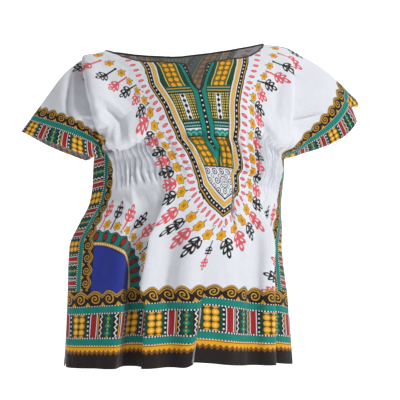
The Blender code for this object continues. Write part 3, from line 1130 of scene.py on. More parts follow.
    def faces(self, rows: int, columns: int) -> tuple[Array, int]:
        """Number the corners of every face.

        Args:
            rows: Rows of points in each sheet.
            columns: Columns of points in each sheet.

        Returns:
            The faces, those of the outer sheet first, and how many those are.
        """
        number = np.arange(rows * columns).reshape(rows, columns)
        corners = [number[:-1, :-1], number[1:, :-1], number[1:, 1:], number[:-1, 1:]]
        outer = np.stack(corners, axis=-1).reshape(-1, 4)
        inner = outer[:, ::-1] + rows * columns
        around = np.concatenate([number[0, :-1], number[:-1, -1], number[-1, :0:-1], number[:0:-1, 0]])
        after = np.roll(around, -1)
        rim = np.stack([around, after, after + rows * columns, around + rows * columns], axis=-1)
        faces = np.concatenate([outer, inner, rim])
        return (faces[:, ::-1] if self.side is Side.BACK else faces), len(outer)

    def build(self, material: Material) -> Thing:
        """Make the panel and lay out its print.

        Args:
            material: The printed cotton.

        Returns:
            The panel.
        """
        outer, inner, cuts, rows = self.sheets()
        faces, outer_count = self.faces(*rows.shape)
        panel = make_piece(self.name, np.concatenate([outer, inner]), faces.tolist(), material)
        places = (cuts, rows, *self.plan.yoke.coordinates(cuts, rows))
        corner_cuts, corner_rows, along, depth = (np.tile(part.ravel(), 2)[faces] for part in places)
        local, kind = self.plan.motifs(corner_cuts, corner_rows)
        reverse = np.zeros(len(faces))
        reverse[outer_count : 2 * outer_count] = 1.0
        kinds = np.broadcast_to(np.stack([kind, reverse], axis=-1)[:, None, :], (*faces.shape, 2))
        layers = {
            "Cloth": np.stack([corner_cuts, corner_rows], axis=-1) * MM,
            "Border": self.plan.border(corner_cuts, corner_rows) * MM,
            "Yoke": np.stack([along, depth], axis=-1) * MM,
            "Motif": local * MM,
            "Kind": kinds,
        }
        for name, values in layers.items():
            layer = panel.data.uv_layers.new(name=name)
            layer.uv.foreach_set("vector", np.ascontiguousarray(values, dtype=np.float32).ravel())
        declare(panel, Slot.PRINTED, self.node)
        self.flat_area()
        return panel

    def flat_area(self) -> float:
        """Work out the area of the flat cut.

        Returns:
            The area, in square metres.
        """
        cuts = np.linspace(-self.form.half_width, self.form.half_width, self.spacing_points)
        lengths = self.form.length - self.form.neck_row(self.side, cuts)
        return float(np.mean(lengths)) * 2 * self.form.half_width * MM * MM


class Value:
    """A number that varies over the cloth: the output of a shader node. A cover is one from 0 to 1."""

    def __init__(self, tree: Tree, socket: Socket) -> None:
        """Keep the node tree and the output."""
        self.tree = tree
        self.socket = socket

    def math(self, operation: str, *others: "Value | float", clamp: bool = False) -> "Value":
        """Work out a number from this one.

        Args:
            operation: The math node's operation.
            others: Its other inputs.
            clamp: Whether the result is kept from 0 to 1.

        Returns:
            The result.
        """
        node = self.tree.nodes.new("ShaderNodeMath")
        node.operation = operation
        node.use_clamp = clamp
        for plug, item in zip(node.inputs, (self, *others)):
            if isinstance(item, Value):
                self.tree.links.new(item.socket, plug)
            else:
                plug.default_value = item
        return Value(self.tree, node.outputs[0])

    def __add__(self, other: "Value | float") -> "Value":
        """Add."""
        return self.math("ADD", other)

    def __sub__(self, other: "Value | float") -> "Value":
        """Subtract."""
        return self.math("SUBTRACT", other)

    def __mul__(self, other: "Value | float") -> "Value":
        """Multiply."""
        return self.math("MULTIPLY", other)

    def __abs__(self) -> "Value":
        """Drop the sign."""
        return self.math("ABSOLUTE")

    def scaled(self, scale: float, offset: float, clamp: bool = False) -> "Value":
        """Multiply by one number and add another."""
        return self.math("MULTIPLY_ADD", scale, offset, clamp=clamp)

    def least(self, other: "Value | float") -> "Value":
        """Take the lesser."""
        return self.math("MINIMUM", other)

    def most(self, other: "Value | float") -> "Value":
        """Take the greater."""
        return self.math("MAXIMUM", other)

    def repeat(self, period: float, middle: float = 0.0) -> "Value":
        """Measure from the nearest of many middles, which lie a period apart, one of them as given."""
        return self.scaled(1.0, period / 2 - middle).math("FLOORED_MODULO", period) - period / 2

    def zigzag(self, period: float, height: float) -> "Value":
        """Give the height of a zigzag line above its lowest points, from its tooth's length and height."""
        return self.math("PINGPONG", period / 2) * (2 * height / period)

    def wave(self, pace: float, height: float, middle: float) -> "Value":
        """Give an even wave with a top at 0, from its pace, half its height and its middle height."""
        return (self * pace).math("COSINE").scaled(height, middle)

    def length(self, other: "Value") -> "Value":
        """Give the length of the arrow with these two parts."""
        return (other * other + self * self).math("SQRT")

    def oval(self, other: "Value", squeeze: Range) -> "Value":
        """Measure outwards from the middle of an oval, to 1 at its edge, from one over its half sizes."""
        return (self * squeeze[0]).length(other * squeeze[1])

    def inside(self, edge: float = 0.0, soft: float = 0.3) -> "Value":
        """Give the cover of what is under an edge, which is softened over a width."""
        return self.scaled(-1.0 / soft, 0.5 + edge / soft, clamp=True)

    def past(self, edge: float, soft: float = 0.3) -> "Value":
        """Give the cover of what is past an edge."""
        return self.inside(edge, soft).scaled(-1.0, 1.0)

    def line(self, half: float, soft: float = 0.3) -> "Value":
        """Give the cover of a line at 0 with half its width."""
        return abs(self).inside(half, soft)

    def stripe(self, middle: float, half: float) -> "Value":
        """Give the cover of a line at a place with half its width."""
        return (self - middle).line(half)

    def band(self, low: float, high: float) -> "Value":
        """Give the cover of what is between two edges."""
        return self.stripe((low + high) / 2, (high - low) / 2)

    def dot(self, other: "Value", radius: float, soft: float = 0.3) -> "Value":
        """Give the cover of a dot, measured from its middle in both directions."""
        return self.length(other).inside(radius, soft)


def shader_colour(red: int, green: int, blue: int) -> Colour:
    """Turn a screen colour, whose parts go from 0 to 255, into a linear shader colour."""
    parts = [c / 255 for c in (red, green, blue)]
    return (*(p / 12.92 if p <= 0.04045 else ((p + 0.055) / 1.055) ** 2.4 for p in parts), 1.0)


class Ink(Enum):
    """The inks of the print and the dyes of its edging."""

    WHITE = shader_colour(232, 234, 240)
    DARK = shader_colour(37, 30, 29)
    GOLD = shader_colour(206, 156, 58)
    YELLOW = shader_colour(240, 172, 32)
    CREAM = shader_colour(250, 214, 120)
    BROWN = shader_colour(132, 84, 34)
    OLIVE = shader_colour(98, 104, 46)
    GREEN = shader_colour(22, 134, 118)
    MOSS = shader_colour(24, 74, 52)
    MINT = shader_colour(120, 190, 170)
    RED = shader_colour(168, 38, 40)
    DEEP_RED = shader_colour(118, 24, 30)
    PINK = shader_colour(228, 92, 100)
    BLUE = shader_colour(44, 58, 152)
    EDGING = shader_colour(44, 36, 34)
    WORN = shader_colour(84, 74, 70)


# For each step inwards: its ink, its edge and, where it isn't the usual one, the width of that edge.
Steps = tuple[tuple[Ink | float, ...], ...]


class Paint:
    """The colour of the cloth as inks are laid over it."""

    def __init__(self, tree: Tree, ground: Ink) -> None:
        """Start with one ink all over."""
        self.tree = tree
        self.colour: Colour | Socket = ground.value

    def lay(self, over: "Ink | Paint", cover: Value) -> None:
        """Lay an ink over the colour.

        Args:
            over: The ink, or another painted colour.
            cover: Where it lies.
        """
        node = self.tree.nodes.new("ShaderNodeMix")
        node.data_type = "RGBA"
        self.tree.links.new(cover.socket, node.inputs[0])
        laid = over.value if isinstance(over, Ink) else over.colour
        for plug, item in ((node.inputs[6], self.colour), (node.inputs[7], laid)):
            if isinstance(item, Socket):
                self.tree.links.new(item, plug)
            else:
                plug.default_value = item
        self.colour = node.outputs[2]

    def nest(self, distance: Value, steps: Steps, within: Value | None = None) -> None:
        """Lay inks inside edges, one after another.

        Args:
            distance: The number whose edges they keep to.
            steps: The inks and their edges.
            within: The cover that they all keep to, if any.
        """
        for ink, *edge in steps:
            cover = distance.inside(*edge)
            self.lay(ink, cover if within is None else cover * within)


def new_finish(name: str) -> tuple[Material, Tree, bpy.types.Node]:
    """Start a material.

    Args:
        name: Its name.

    Returns:
        The material, its node tree and its shader.
    """
    material = bpy.data.materials.new(name)
    material.use_nodes = True
    return material, material.node_tree, material.node_tree.nodes["Principled BSDF"]


def settle(node: bpy.types.Node, values: dict[str, float | Colour]) -> None:
    """Set a node's own inputs, each by its name."""
    for name, value in values.items():
        node.inputs[name].default_value = value


def coordinates(tree: Tree, name: str, scale: float = 1.0 / MM) -> tuple[Value, Value]:
    """Read a pair of coordinates.

    Args:
        tree: The node tree.
        name: The layer that holds them.
        scale: What they are multiplied by, which turns metres into mm unless it is given.

    Returns:
        The two numbers.
    """
    source = tree.nodes.new("ShaderNodeUVMap")
    source.uv_map = name
    split = tree.nodes.new("ShaderNodeSeparateXYZ")
    tree.links.new(source.outputs[0], split.inputs[0])
    return Value(tree, split.outputs[0]) * scale, Value(tree, split.outputs[1]) * scale


def bumped(tree: Tree, height: Socket, strength: float, tall: float) -> Socket:
    """Turn a height into a normal.

    Args:
        tree: The node tree.
        height: The height, as a share.
        strength: How strongly it counts.
        tall: The height of a share of 1, in mm.

    Returns:
        The normal.
    """
    node = tree.nodes.new("ShaderNodeBump")
    settle(node, {"Strength": strength, "Distance": tall * MM})
    tree.links.new(height, node.inputs["Height"])
    return node.outputs[0]


@dataclass(frozen=True)
class BorderPrint:
    """The border of the hem, cuffs and sides, measured along it and up from the cloth's edge."""

    repeat: float = 91.6
    first: float = 21.0
    middle: float = 56.25
    bead_ground: float = 14.6
    bead_place: float = 5.3
    bead_pitch: float = 8.3
    bead_squeeze: Range = (0.185, 0.225)
    bead_inks: Steps = ((Ink.BROWN, 1.0, 0.08), (Ink.YELLOW, 0.84, 0.1), (Ink.CREAM, 0.34, 0.3))
    bead_dots: Dots = (15.6, 6.0, 1.25)
    bar_frame: Range = (18.4, 28.8)
    bar: Range = (19.6, 27.6)
    bar_specks: Range = (20.2, 27.0)
    specks: Dots = (1.0, 2.7, 0.5)
    speck_edge: float = 0.5
    bar_line: Range = (30.6, 0.55)
    zigzag: Range = (7.2, 3.0)
    zigzag_line: Range = (33.2, 0.85)
    lozenge_ground: float = 38.2
    lozenge_place: float = 45.8
    lozenge_squeeze: Range = (0.2, 0.21)
    lozenge_pitch: float = 9.6
    lozenge_edge: Range = (1.0, 0.06)
    lozenge_dots: Range = (4.8, 1.15)
    rails: Range = (56.375, 21.375)
    rail_inks: Steps = ((Ink.DARK, 6.4), (Ink.GREEN, 3.9))
    rail_dots: Dots = (5.1, 3.9, 1.05)
    spiral_repeat: float = 22.9
    scallops: Range = (6.0, 97.6)
    scallop_lines: tuple[Range, ...] = ((-2.3, -0.4), (-4.9, -3.5))
    scallop_edge: float = 0.2
    spiral_ground: float = 83.0
    spiral_middle: float = 92.2
    spiral_step: float = 4.3
    spiral_line: float = 0.85
    spiral_radius: float = 7.6
    foot_slope: float = 0.8
    foot: float = 4.2
    edge_ground: float = 29.8
    edge_line: Range = (28.2, 0.5)
    teeth: Range = (7.4, 3.4)
    teeth_inks: Steps = ((Ink.BROWN, 21.2), (Ink.DARK, 17.4))

    def ladder(self, along: Value, up: Value) -> Paint:
        """Paint the ladder of beads, bars and zigzags.

        Args:
            along: Distance along the border.
            up: Distance up it.

        Returns:
            The painted colour.
        """
        paint = Paint(along.tree, Ink.DARK)
        off = abs(along.repeat(self.repeat, self.first))
        paint.lay(Ink.MOSS, off.inside(self.bead_ground))
        bead = (off - self.bead_place).oval(up.repeat(self.bead_pitch, self.middle), self.bead_squeeze)
        paint.nest(bead, self.bead_inks)
        place, pitch, radius = self.bead_dots
        paint.lay(Ink.WHITE, (off - place).dot(up.repeat(pitch, self.middle), radius))
        paint.lay(Ink.WHITE, off.band(*self.bar_frame))
        paint.lay(Ink.RED, off.band(*self.bar))
        place, pitch, radius = self.specks
        speck = along.repeat(pitch, place).dot(up.repeat(pitch, self.middle), radius, self.speck_edge)
        paint.lay(Ink.DEEP_RED, speck * off.band(*self.bar_specks))
        paint.lay(Ink.YELLOW, off.stripe(*self.bar_line))
        paint.lay(Ink.WHITE, (off - up.zigzag(*self.zigzag)).stripe(*self.zigzag_line))
        paint.lay(Ink.MOSS, off.past(self.lozenge_ground))
        flat, tall = self.lozenge_squeeze
        lozenge = abs((off - self.lozenge_place) * flat)
        lozenge = lozenge + abs(up.repeat(self.lozenge_pitch, self.middle)) * tall
        paint.lay(Ink.GREEN, lozenge.inside(*self.lozenge_edge))
        pitch, radius = self.lozenge_dots
        paint.lay(Ink.YELLOW, (off - self.lozenge_place).dot(up.repeat(pitch, self.middle), radius))
        return paint

    def scrolls(self, paint: Paint, along: Value, up: Value) -> Value:
        """Paint the band of spirals, which ends in scallops.

        Args:
            paint: The border so far.
            along: Distance along the border.
            up: Distance up it.

        Returns:
            How far above the scallops each point is.
        """
        place = along.repeat(self.spiral_repeat)
        above = up - place.wave(math.pi / self.spiral_repeat, *self.scallops)
        paint.lay(Ink.DARK, up.past(self.spiral_ground))
        for line in self.scallop_lines:
            paint.lay(Ink.GOLD, above.band(*line))
        height = up - self.spiral_middle
        radius = place.length(height)
        turn = height.math("ARCTAN2", place) * (0.5 / math.pi)
        winding = (radius * (1 / self.spiral_step) - turn).repeat(1.0, 0.5)
        line = abs(winding) * self.spiral_step
        paint.lay(Ink.GOLD, line.inside(self.spiral_line) * radius.inside(self.spiral_radius))
        foot = abs(along.repeat(self.spiral_repeat, self.spiral_repeat / 2))
        foot = foot + (up - self.spiral_ground) * self.foot_slope
        paint.lay(Ink.GOLD, foot.inside(self.foot) * up.past(self.spiral_ground))
        return above

    def paint(self, tree: Tree) -> tuple[Paint, Value]:
        """Paint the whole border.

        Args:
            tree: The node tree.

        Returns:
            The painted colour and its cover.
        """
        along, up = coordinates(tree, "Border")
        paint = self.ladder(along, up)
        middle, half = self.rails
        off = abs(abs(up - middle) - half)
        paint.nest(off, self.rail_inks)
        place, pitch, radius = self.rail_dots
        paint.lay(Ink.WHITE, along.repeat(pitch).dot(off - place, radius))
        above = self.scrolls(paint, along, up)
        teeth = up - along.zigzag(*self.teeth)
        paint.lay(Ink.YELLOW, up.inside(self.edge_ground))
        paint.lay(Ink.BROWN, up.stripe(*self.edge_line))
        paint.nest(teeth, self.teeth_inks)
        return paint, above.inside(self.scallop_edge)


@dataclass(frozen=True)
class YokePrint:
    """The shield on the yoke: its frame, its panels, the strip down its middle and its point."""

    frame: float = 21.4
    frame_inks: Steps = ((Ink.DARK, 21.4), (Ink.WHITE, 19.8), (Ink.GOLD, 17.6))
    hatch_pitch: float = 2.6
    hatch_line: Range = (0.45, 0.5)
    hatched: Range = (11.8, 17.2)
    rim_inks: Steps = ((Ink.WHITE, 11.2), (Ink.DARK, 9.8))
    rim_dots: Dots = (6.4, 6.4, 1.15)
    rim_line: Range = (1.7, 3.2)
    strip: float = 12.0
    strip_slant: Range = (-0.4, 42.0)
    strip_point: Range = (178.0, 0.42)
    strip_inks: Steps = ((Ink.DARK, 12.4), (Ink.GREEN, 11.0))
    strip_end: float = 214.0
    strip_edge: Range = (3.0, 3.4)
    strip_dots: Dots = (0.4, 6.6, 1.0)
    strip_dots_end: float = 208.0
    heart: Range = (-4.5, -6.5)
    heart_dots: Range = (6.0, 1.8)
    point_row: float = 206.0
    seed_pitch: float = 8.6
    seed_place: float = 4.8
    seed_squeeze: Range = (0.22, 0.24)
    seed_inks: Steps = ((Ink.BROWN, 1.0, 0.1), (Ink.YELLOW, 0.8, 0.1))
    seed_top: float = 97.0
    seed_foot: Range = (164.0, 205.0)
    seed_ground: float = 11.6
    seed_line: Range = (12.4, 0.6)
    window: Range = (108.0, 142.0)
    window_dots: Range = (3.4, 0.9)
    window_line: Range = (12.0, 1.0)
    window_middle: float = 125.0
    lozenge_rows: Range = (109.0, 141.0)
    lozenge_pitch: float = 7.0
    lozenge: Range = (4.4, 3.3)
    bars: tuple[Range, Range] = ((97.0, 107.0), (143.0, 152.0))
    bar_off: float = 22.6
    bar_edges: Triple = (3.3, 4.6, 0.6)
    bar_line: Range = (2.2, 0.6)
    bar_split: float = 120.0
    bar_dots: Range = (3.0, 0.65)
    arch_rows: Range = (152.6, 163.0)
    arch_pitch: float = 10.4
    arch: float = 8.6
    arch_line: Range = (4.0, 5.6)
    arch_foot: Range = (163.6, 0.8)
    ring_pitch: float = 12.8
    ring_row: float = 212.5
    ring: Range = (3.6, 0.6)
    ring_dot: float = 1.2
    ring_lozenge: Range = (3.0, 0.6)
    star_row: float = 226.3
    star_ground: float = 8.2
    star_ring: Range = (7.2, 0.55)
    star: Triple = (8.0, 1.1, 4.0)
    star_line: float = 0.5
    star_dot: float = 1.3
    point_line: Range = (206.4, 0.6)

    def bands(self, paint: Paint, along: Value, depth: Value) -> None:
        """Paint the bands that frame the yoke.

        Args:
            paint: The yoke so far.
            along: Distance along its outline.
            depth: Distance inside it.
        """
        paint.nest(depth, self.frame_inks)
        hatch = (depth + along).repeat(self.hatch_pitch).line(*self.hatch_line)
        paint.lay(Ink.CREAM, hatch * depth.band(*self.hatched))
        paint.nest(depth, self.rim_inks)
        place, pitch, radius = self.rim_dots
        paint.lay(Ink.WHITE, along.repeat(pitch).dot(depth - place, radius))
        paint.lay(Ink.GOLD, depth.band(*self.rim_line))

    def seeds(self, paint: Paint, row: Value, off: Value) -> None:
        """Paint the rows of seeds.

        Args:
            paint: The yoke so far.
            row: Distance below the shoulder.
            off: Distance from the middle of the side panel.
        """
        seed_row = row.repeat(self.seed_pitch)
        seed = (off - self.seed_place).oval(seed_row, self.seed_squeeze)
        seeded = row.inside(self.seed_top).most(row.band(*self.seed_foot))
        paint.lay(Ink.OLIVE, off.inside(self.seed_ground) * seeded)
        paint.lay(Ink.CREAM, off.stripe(*self.seed_line) * seeded)
        paint.nest(seed, self.seed_inks, seeded)

    def windows(self, paint: Paint, middle: Value, row: Value, off: Value) -> None:
        """Paint the dotted windows with their lozenges.

        Args:
            paint: The yoke so far.
            middle: Place across the side panel, from its middle.
            row: Distance below the shoulder.
            off: The same place without its sign.
        """
        paint.lay(Ink.OLIVE, row.band(*self.window))
        pitch, radius = self.window_dots
        dots = middle.repeat(pitch).dot(row.repeat(pitch), radius)
        paint.lay(Ink.CREAM, dots * row.band(*self.window))
        paint.lay(Ink.DARK, off.stripe(*self.window_line) * row.band(*self.window))
        lozenge = off + abs(row.repeat(self.lozenge_pitch, self.window_middle))
        ground, edge = self.lozenge
        paint.lay(Ink.WHITE, off.inside(ground) * row.band(*self.lozenge_rows))
        paint.lay(Ink.DARK, lozenge.inside(edge) * row.band(*self.lozenge_rows))

    def crossbars(self, paint: Paint, across: Value, row: Value) -> None:
        """Paint the bars above and below the windows, and the arches under them.

        Args:
            paint: The yoke so far.
            across: Distance from the cloth's middle.
            row: Distance below the shoulder.
        """
        upper, lower = self.bars
        paint.lay(Ink.GREEN, row.band(*upper).most(row.band(*lower)))
        line = abs(abs(row - self.window_middle) - self.bar_off)
        inner, outer, half = self.bar_edges
        paint.lay(Ink.DARK, line.band(inner, outer).most(line.inside(half)))
        paint.lay(Ink.GOLD, line.stripe(*self.bar_line) * row.inside(self.bar_split))
        pitch, radius = self.bar_dots
        dots = across.repeat(pitch).dot(line - self.bar_line[0], radius)
        paint.lay(Ink.WHITE, dots * row.past(self.bar_split))
        arch = across.repeat(self.arch_pitch, self.arch_pitch / 2).length(row - self.arch_rows[1])
        arches = row.band(*self.arch_rows)
        paint.lay(Ink.WHITE, arches)
        paint.lay(Ink.GREEN, arch.band(0.0, self.arch) * arches)
        paint.lay(Ink.MINT, arch.band(*self.arch_line) * arches)
        paint.lay(Ink.DARK, row.stripe(*self.arch_foot))

    def medallion(self, paint: Paint, across: Value, row: Value) -> None:
        """Paint the white field at the point, with its rings, its lozenges and its star.

        Args:
            paint: The yoke so far.
            across: Distance from the cloth's middle.
            row: Distance below the shoulder.
        """
        below = row.past(self.point_row)
        paint.lay(Ink.WHITE, below)
        ring = across.repeat(self.ring_pitch).length((row - self.ring_row).repeat(self.ring_pitch))
        paint.lay(Ink.DARK, ring.stripe(*self.ring) * below)
        paint.lay(Ink.DARK, ring.inside(self.ring_dot) * below)
        between = (self.ring_pitch, self.ring_pitch / 2)
        x, y = across.repeat(*between), (row - self.ring_row).repeat(*between)
        paint.lay(Ink.DARK, (abs(x) + abs(y)).stripe(*self.ring_lozenge) * below)
        middle = across.length(row - self.star_row)
        paint.lay(Ink.WHITE, middle.inside(self.star_ground) * below)
        paint.lay(Ink.DARK, middle.stripe(*self.star_ring) * below)
        star = across.math("ARCTAN2", row - self.star_row).wave(*self.star)
        paint.lay(Ink.DARK, (middle - star).line(self.star_line) * below)
        paint.lay(Ink.DARK, middle.inside(self.star_dot) * below)
        paint.lay(Ink.DARK, row.stripe(*self.point_line))

    def paint(self, across: Value, row: Value) -> tuple[Paint, Value]:
        """Paint the whole yoke.

        Args:
            across: Distance from the cloth's middle.
            row: Distance below the shoulder.

        Returns:
            The painted colour, and the distance inside the yoke's outline.
        """
        along, depth = coordinates(across.tree, "Yoke")
        paint = Paint(across.tree, Ink.DARK)
        slope, top = self.strip_slant
        slant = (row * slope + top).most(0.0)
        start, slope = self.strip_point
        point = (row - start).most(0.0) * slope
        strip = across - slant + point
        middle = (strip - self.strip - (depth - self.frame)) * 0.5
        off = abs(middle)
        paint.lay(Ink.MOSS, row.inside(self.point_row))
        self.seeds(paint, row, off)
        self.windows(paint, middle, row, off)
        self.crossbars(paint, across, row)
        self.medallion(paint, across, row)
        for ink, edge in self.strip_inks:
            paint.lay(ink, strip.inside(edge) * row.inside(self.strip_end))
        least, width = self.strip_edge
        edge = strip - slant.least(least)
        paint.lay(Ink.DARK, edge.inside(width) * row.inside(self.strip_end))
        place, pitch, radius = self.strip_dots
        dots = (edge - place).dot(row.repeat(pitch), radius)
        paint.lay(Ink.WHITE, dots * row.inside(self.strip_dots_end))
        heart, dotted = self.heart
        paint.lay(Ink.GREEN, strip.inside(heart))
        pitch, radius = self.heart_dots
        dots = across.repeat(pitch).dot(row.repeat(pitch), radius)
        paint.lay(Ink.YELLOW, dots * strip.inside(dotted))
        self.bands(paint, along, depth)
        return paint, depth


@dataclass(frozen=True)
class CornerPrint:
    """The half-moon beside each side border, measured out from its centre and round it."""

    arc: float = 77.0
    petal_pitch: float = 12.6
    petals: Range = (1.6, 85.6)
    petal_inks: Steps = ((Ink.DARK, 1.2), (Ink.GREEN, 0.0))
    seed_place: float = 78.8
    seed_squeeze: Range = (0.36, 0.185)
    seed_inks: Steps = ((Ink.DARK, 1.28, 0.15), (Ink.RED, 0.92, 0.15))
    rim_inks: Steps = ((Ink.DARK, 72.0), (Ink.GOLD, 71.0))
    rim_dots: Dots = (68.6, 3.6, 1.15)
    inner: float = 66.4
    field: float = 65.2
    field_end: float = 236.0

    def paint(self, paint: Paint, across: Value, row: Value, shape: CornerShape) -> None:
        """Paint the half-moon.

        Args:
            paint: The cloth so far.
            across: Distance from the cloth's middle.
            row: Distance below the shoulder.
            shape: Where it lies.
        """
        x = across.scaled(-shape.squeeze, shape.centre_cut * shape.squeeze)
        y = row.scaled(-1.0, shape.centre_row)
        radius = x.length(y)
        arc = y.math("ARCTAN2", x) * self.arc
        petal = arc.repeat(self.petal_pitch)
        above = radius - petal.wave(2 * math.pi / self.petal_pitch, *self.petals)
        paint.nest(above, self.petal_inks)
        paint.nest(petal.oval(radius - self.seed_place, self.seed_squeeze), self.seed_inks)
        paint.nest(radius, self.rim_inks)
        place, pitch, size = self.rim_dots
        paint.lay(Ink.WHITE, arc.repeat(pitch).dot(radius - place, size))
        paint.lay(Ink.DARK, radius.inside(self.inner))
        paint.lay(Ink.BLUE, radius.inside(self.field) * across.inside(self.field_end))


@dataclass(frozen=True)
class MotifPrint:
    """The petals, blossoms and sprigs, each measured from its own middle."""

    chosen: Range = (0.5, 0.1)
    petal_squeeze: Range = (0.45, 0.178)
    petal_edge: Range = (1.0, 0.12)
    vein_squeeze: Range = (2.4, 0.34)
    vein_edge: Range = (1.0, 0.5)
    vein_share: float = 0.45
    lobes: Triple = (6.0, 0.75, 5.5)
    stalk: float = 0.7
    stalk_rows: Range = (-9.0, -4.0)
    bloom_inks: Steps = ((Ink.BROWN, 0.35), (Ink.YELLOW, -0.35))
    rays: Triple = (6.0, 1.3, 1.9)
    ray_share: float = 0.75
    stem: float = 1.2
    stem_rows: Range = (-17.5, 14.0)
    knob: Range = (17.0, 1.9)
    leaf_table: Table = Table(
        ("foot", "lean", "half"),
        ((-1.0, 0.92, 6.2), (6.5, 1.02, 5.8), (12.5, 1.5708, 5.8)),
    )
    leaf_reach: float = 0.98
    leaf_half: float = 2.7
    leaf_line: Triple = (0.73, 0.3, 0.12)

    def blossom(self, paint: Paint, x: Value, y: Value, chosen: Value) -> None:
        """Paint a blossom on its stalk.

        Args:
            paint: The cloth so far.
            x: Distance to the side of its middle.
            y: Distance outwards from its middle.
            chosen: The cover of the faces that hold one.
        """
        around = x.math("ARCTAN2", y)
        lobes = around.wave(*self.lobes)
        bloom = x.length(y) - lobes
        stalk = x.inside(self.stalk) * y.band(*self.stalk_rows)
        paint.lay(Ink.MOSS, stalk * chosen)
        paint.nest(bloom, self.bloom_inks, chosen)
        rays = around.wave(*self.rays)
        paint.lay(Ink.BROWN, (x.length(y) - rays).inside(0.0, 0.5) * chosen * self.ray_share)

    def leaves(self, x: Value, y: Value) -> Value:
        """Draw the outlines of a sprig's stem, knob and leaves.

        Args:
            x: Distance to the side of its middle.
            y: Distance outwards from its middle.

        Returns:
            Their cover.
        """
        place, radius = self.knob
        stem = x.inside(self.stem) * y.band(*self.stem_rows)
        lines = stem.most(x.dot(y + place, radius))
        outline, half, soft = self.leaf_line
        for leaf in self.leaf_table.lines():
            cos, sin, size = math.cos(leaf["lean"]), math.sin(leaf["lean"]), leaf["half"]
            mid_x, mid_y = size * cos * self.leaf_reach, leaf["foot"] + size * sin
            ahead = (x - mid_x) * (cos / size)
            ahead = (y - mid_y).math("MULTIPLY_ADD", sin / size, ahead)
            beside = (x - mid_x) * (-sin / self.leaf_half)
            beside = (y - mid_y).math("MULTIPLY_ADD", cos / self.leaf_half, beside)
            lines = lines.most((beside.length(ahead) - outline).line(half, soft))
        return lines

    def paint(self, paint: Paint, kind: Value) -> None:
        """Paint each face's motif.

        Args:
            paint: The cloth so far.
            kind: Each face's motif number.
        """
        x, y = coordinates(paint.tree, "Motif")
        x = abs(x)
        half, soft = self.chosen
        chosen = (kind - Motif.PETAL.value).line(half, soft)
        paint.lay(Ink.PINK, x.oval(y, self.petal_squeeze).inside(*self.petal_edge) * chosen)
        vein = x.oval(y, self.vein_squeeze).inside(*self.vein_edge)
        paint.lay(Ink.WHITE, vein * chosen * self.vein_share)
        self.blossom(paint, x, y, (kind - Motif.BLOSSOM.value).line(half, soft))
        sprig = kind.past(Motif.DARK_SPRIG.value - half, soft)
        lines = self.leaves(x, y) * sprig
        red = kind.past(Motif.RED_SPRIG.value - half, soft)
        paint.lay(Ink.DARK, lines)
        paint.lay(Ink.PINK, lines * red)


@dataclass(frozen=True)
class Weave:
    """The threads of the cotton, with their slubs and small crumples."""

    thread: float = 0.62
    slub_squeeze: Range = (0.04, 1.1)
    crumple_squeeze: Range = (0.1, 0.075)
    thread_height: float = 0.05
    slub_height: float = 0.10
    crumple_height: float = 1.6
    strength: float = 0.8

    def noise(self, across: Value, row: Value, squeeze: Range, settings: dict[str, float]) -> Value:
        """Make soft noise over the cloth.

        Args:
            across: Distance from the cloth's middle.
            row: Distance below the shoulder.
            squeeze: One over the size of its patches across and down.
            settings: The noise node's own inputs.

        Returns:
            The noise.
        """
        tree = across.tree
        joined = tree.nodes.new("ShaderNodeCombineXYZ")
        for plug, place, share in zip(joined.inputs, (across, row), squeeze):
            tree.links.new((place * share).socket, plug)
        node = tree.nodes.new("ShaderNodeTexNoise")
        settle(node, {"Scale": 1.0, **settings})
        tree.links.new(joined.outputs[0], node.inputs["Vector"])
        return Value(tree, node.outputs[0])

    def relief(self, across: Value, row: Value) -> tuple[Value, Socket]:
        """Make the height of the cloth's surface.

        Args:
            across: Distance from the cloth's middle.
            row: Distance below the shoulder.

        Returns:
            The slubs and the bumped normal.
        """
        pitch = math.pi / self.thread
        warp = (across * pitch).math("SINE")
        threads = warp * (row * pitch).math("SINE")
        slubs = self.noise(across, row, self.slub_squeeze, {"Detail": 2.0})
        crumples = self.noise(across, row, self.crumple_squeeze, {"Detail": 3.0, "Distortion": 0.6})
        height = threads * self.thread_height + slubs * self.slub_height + crumples * self.crumple_height
        return slubs, bumped(across.tree, height.socket, self.strength, 1.0)


@dataclass(frozen=True)
class PrintedCotton:
    """Printed plain-weave cotton: its pattern, its weave and its faint sheen."""

    border: BorderPrint = BorderPrint()
    yoke: YokePrint = YokePrint()
    corner: CornerPrint = CornerPrint()
    motifs: MotifPrint = MotifPrint()
    weave: Weave = Weave()
    roughness: float = 0.82
    sheen: float = 0.12
    sheen_roughness: float = 0.45
    shine: float = 0.25
    reverse_fade: float = 0.34
    slub_shade: Range = (0.35, -0.12)
    slub_share: float = 0.35

    def material(self, plan: PrintPlan) -> Material:
        """Make the finish.

        Args:
            plan: Where the print lies.

        Returns:
            The material.
        """
        material, tree, shader = new_finish("printed_cotton_cloth")
        cut, row = coordinates(tree, "Cloth")
        across = abs(cut)
        paint = Paint(tree, Ink.WHITE)
        self.corner.paint(paint, across, row, plan.corner)
        kind, reverse = coordinates(tree, "Kind", scale=1.0)
        self.motifs.paint(paint, kind)
        yoke, depth = self.yoke.paint(across, row)
        paint.lay(yoke, depth.past(0.0))
        paint.lay(*self.border.paint(tree))
        paint.lay(Ink.WHITE, reverse * self.reverse_fade)
        slubs, normal = self.weave.relief(cut, row)
        paint.lay(Ink.DARK, slubs.scaled(*self.slub_shade, clamp=True) * self.slub_share)
        tree.links.new(paint.colour, shader.inputs["Base Color"])
        tree.links.new(normal, shader.inputs["Normal"])
        settle(shader, {"Roughness": self.roughness, "Specular IOR Level": self.shine})
        settle(shader, {"Sheen Weight": self.sheen, "Sheen Roughness": self.sheen_roughness})
        material.diffuse_color = Ink.WHITE.value
        return material


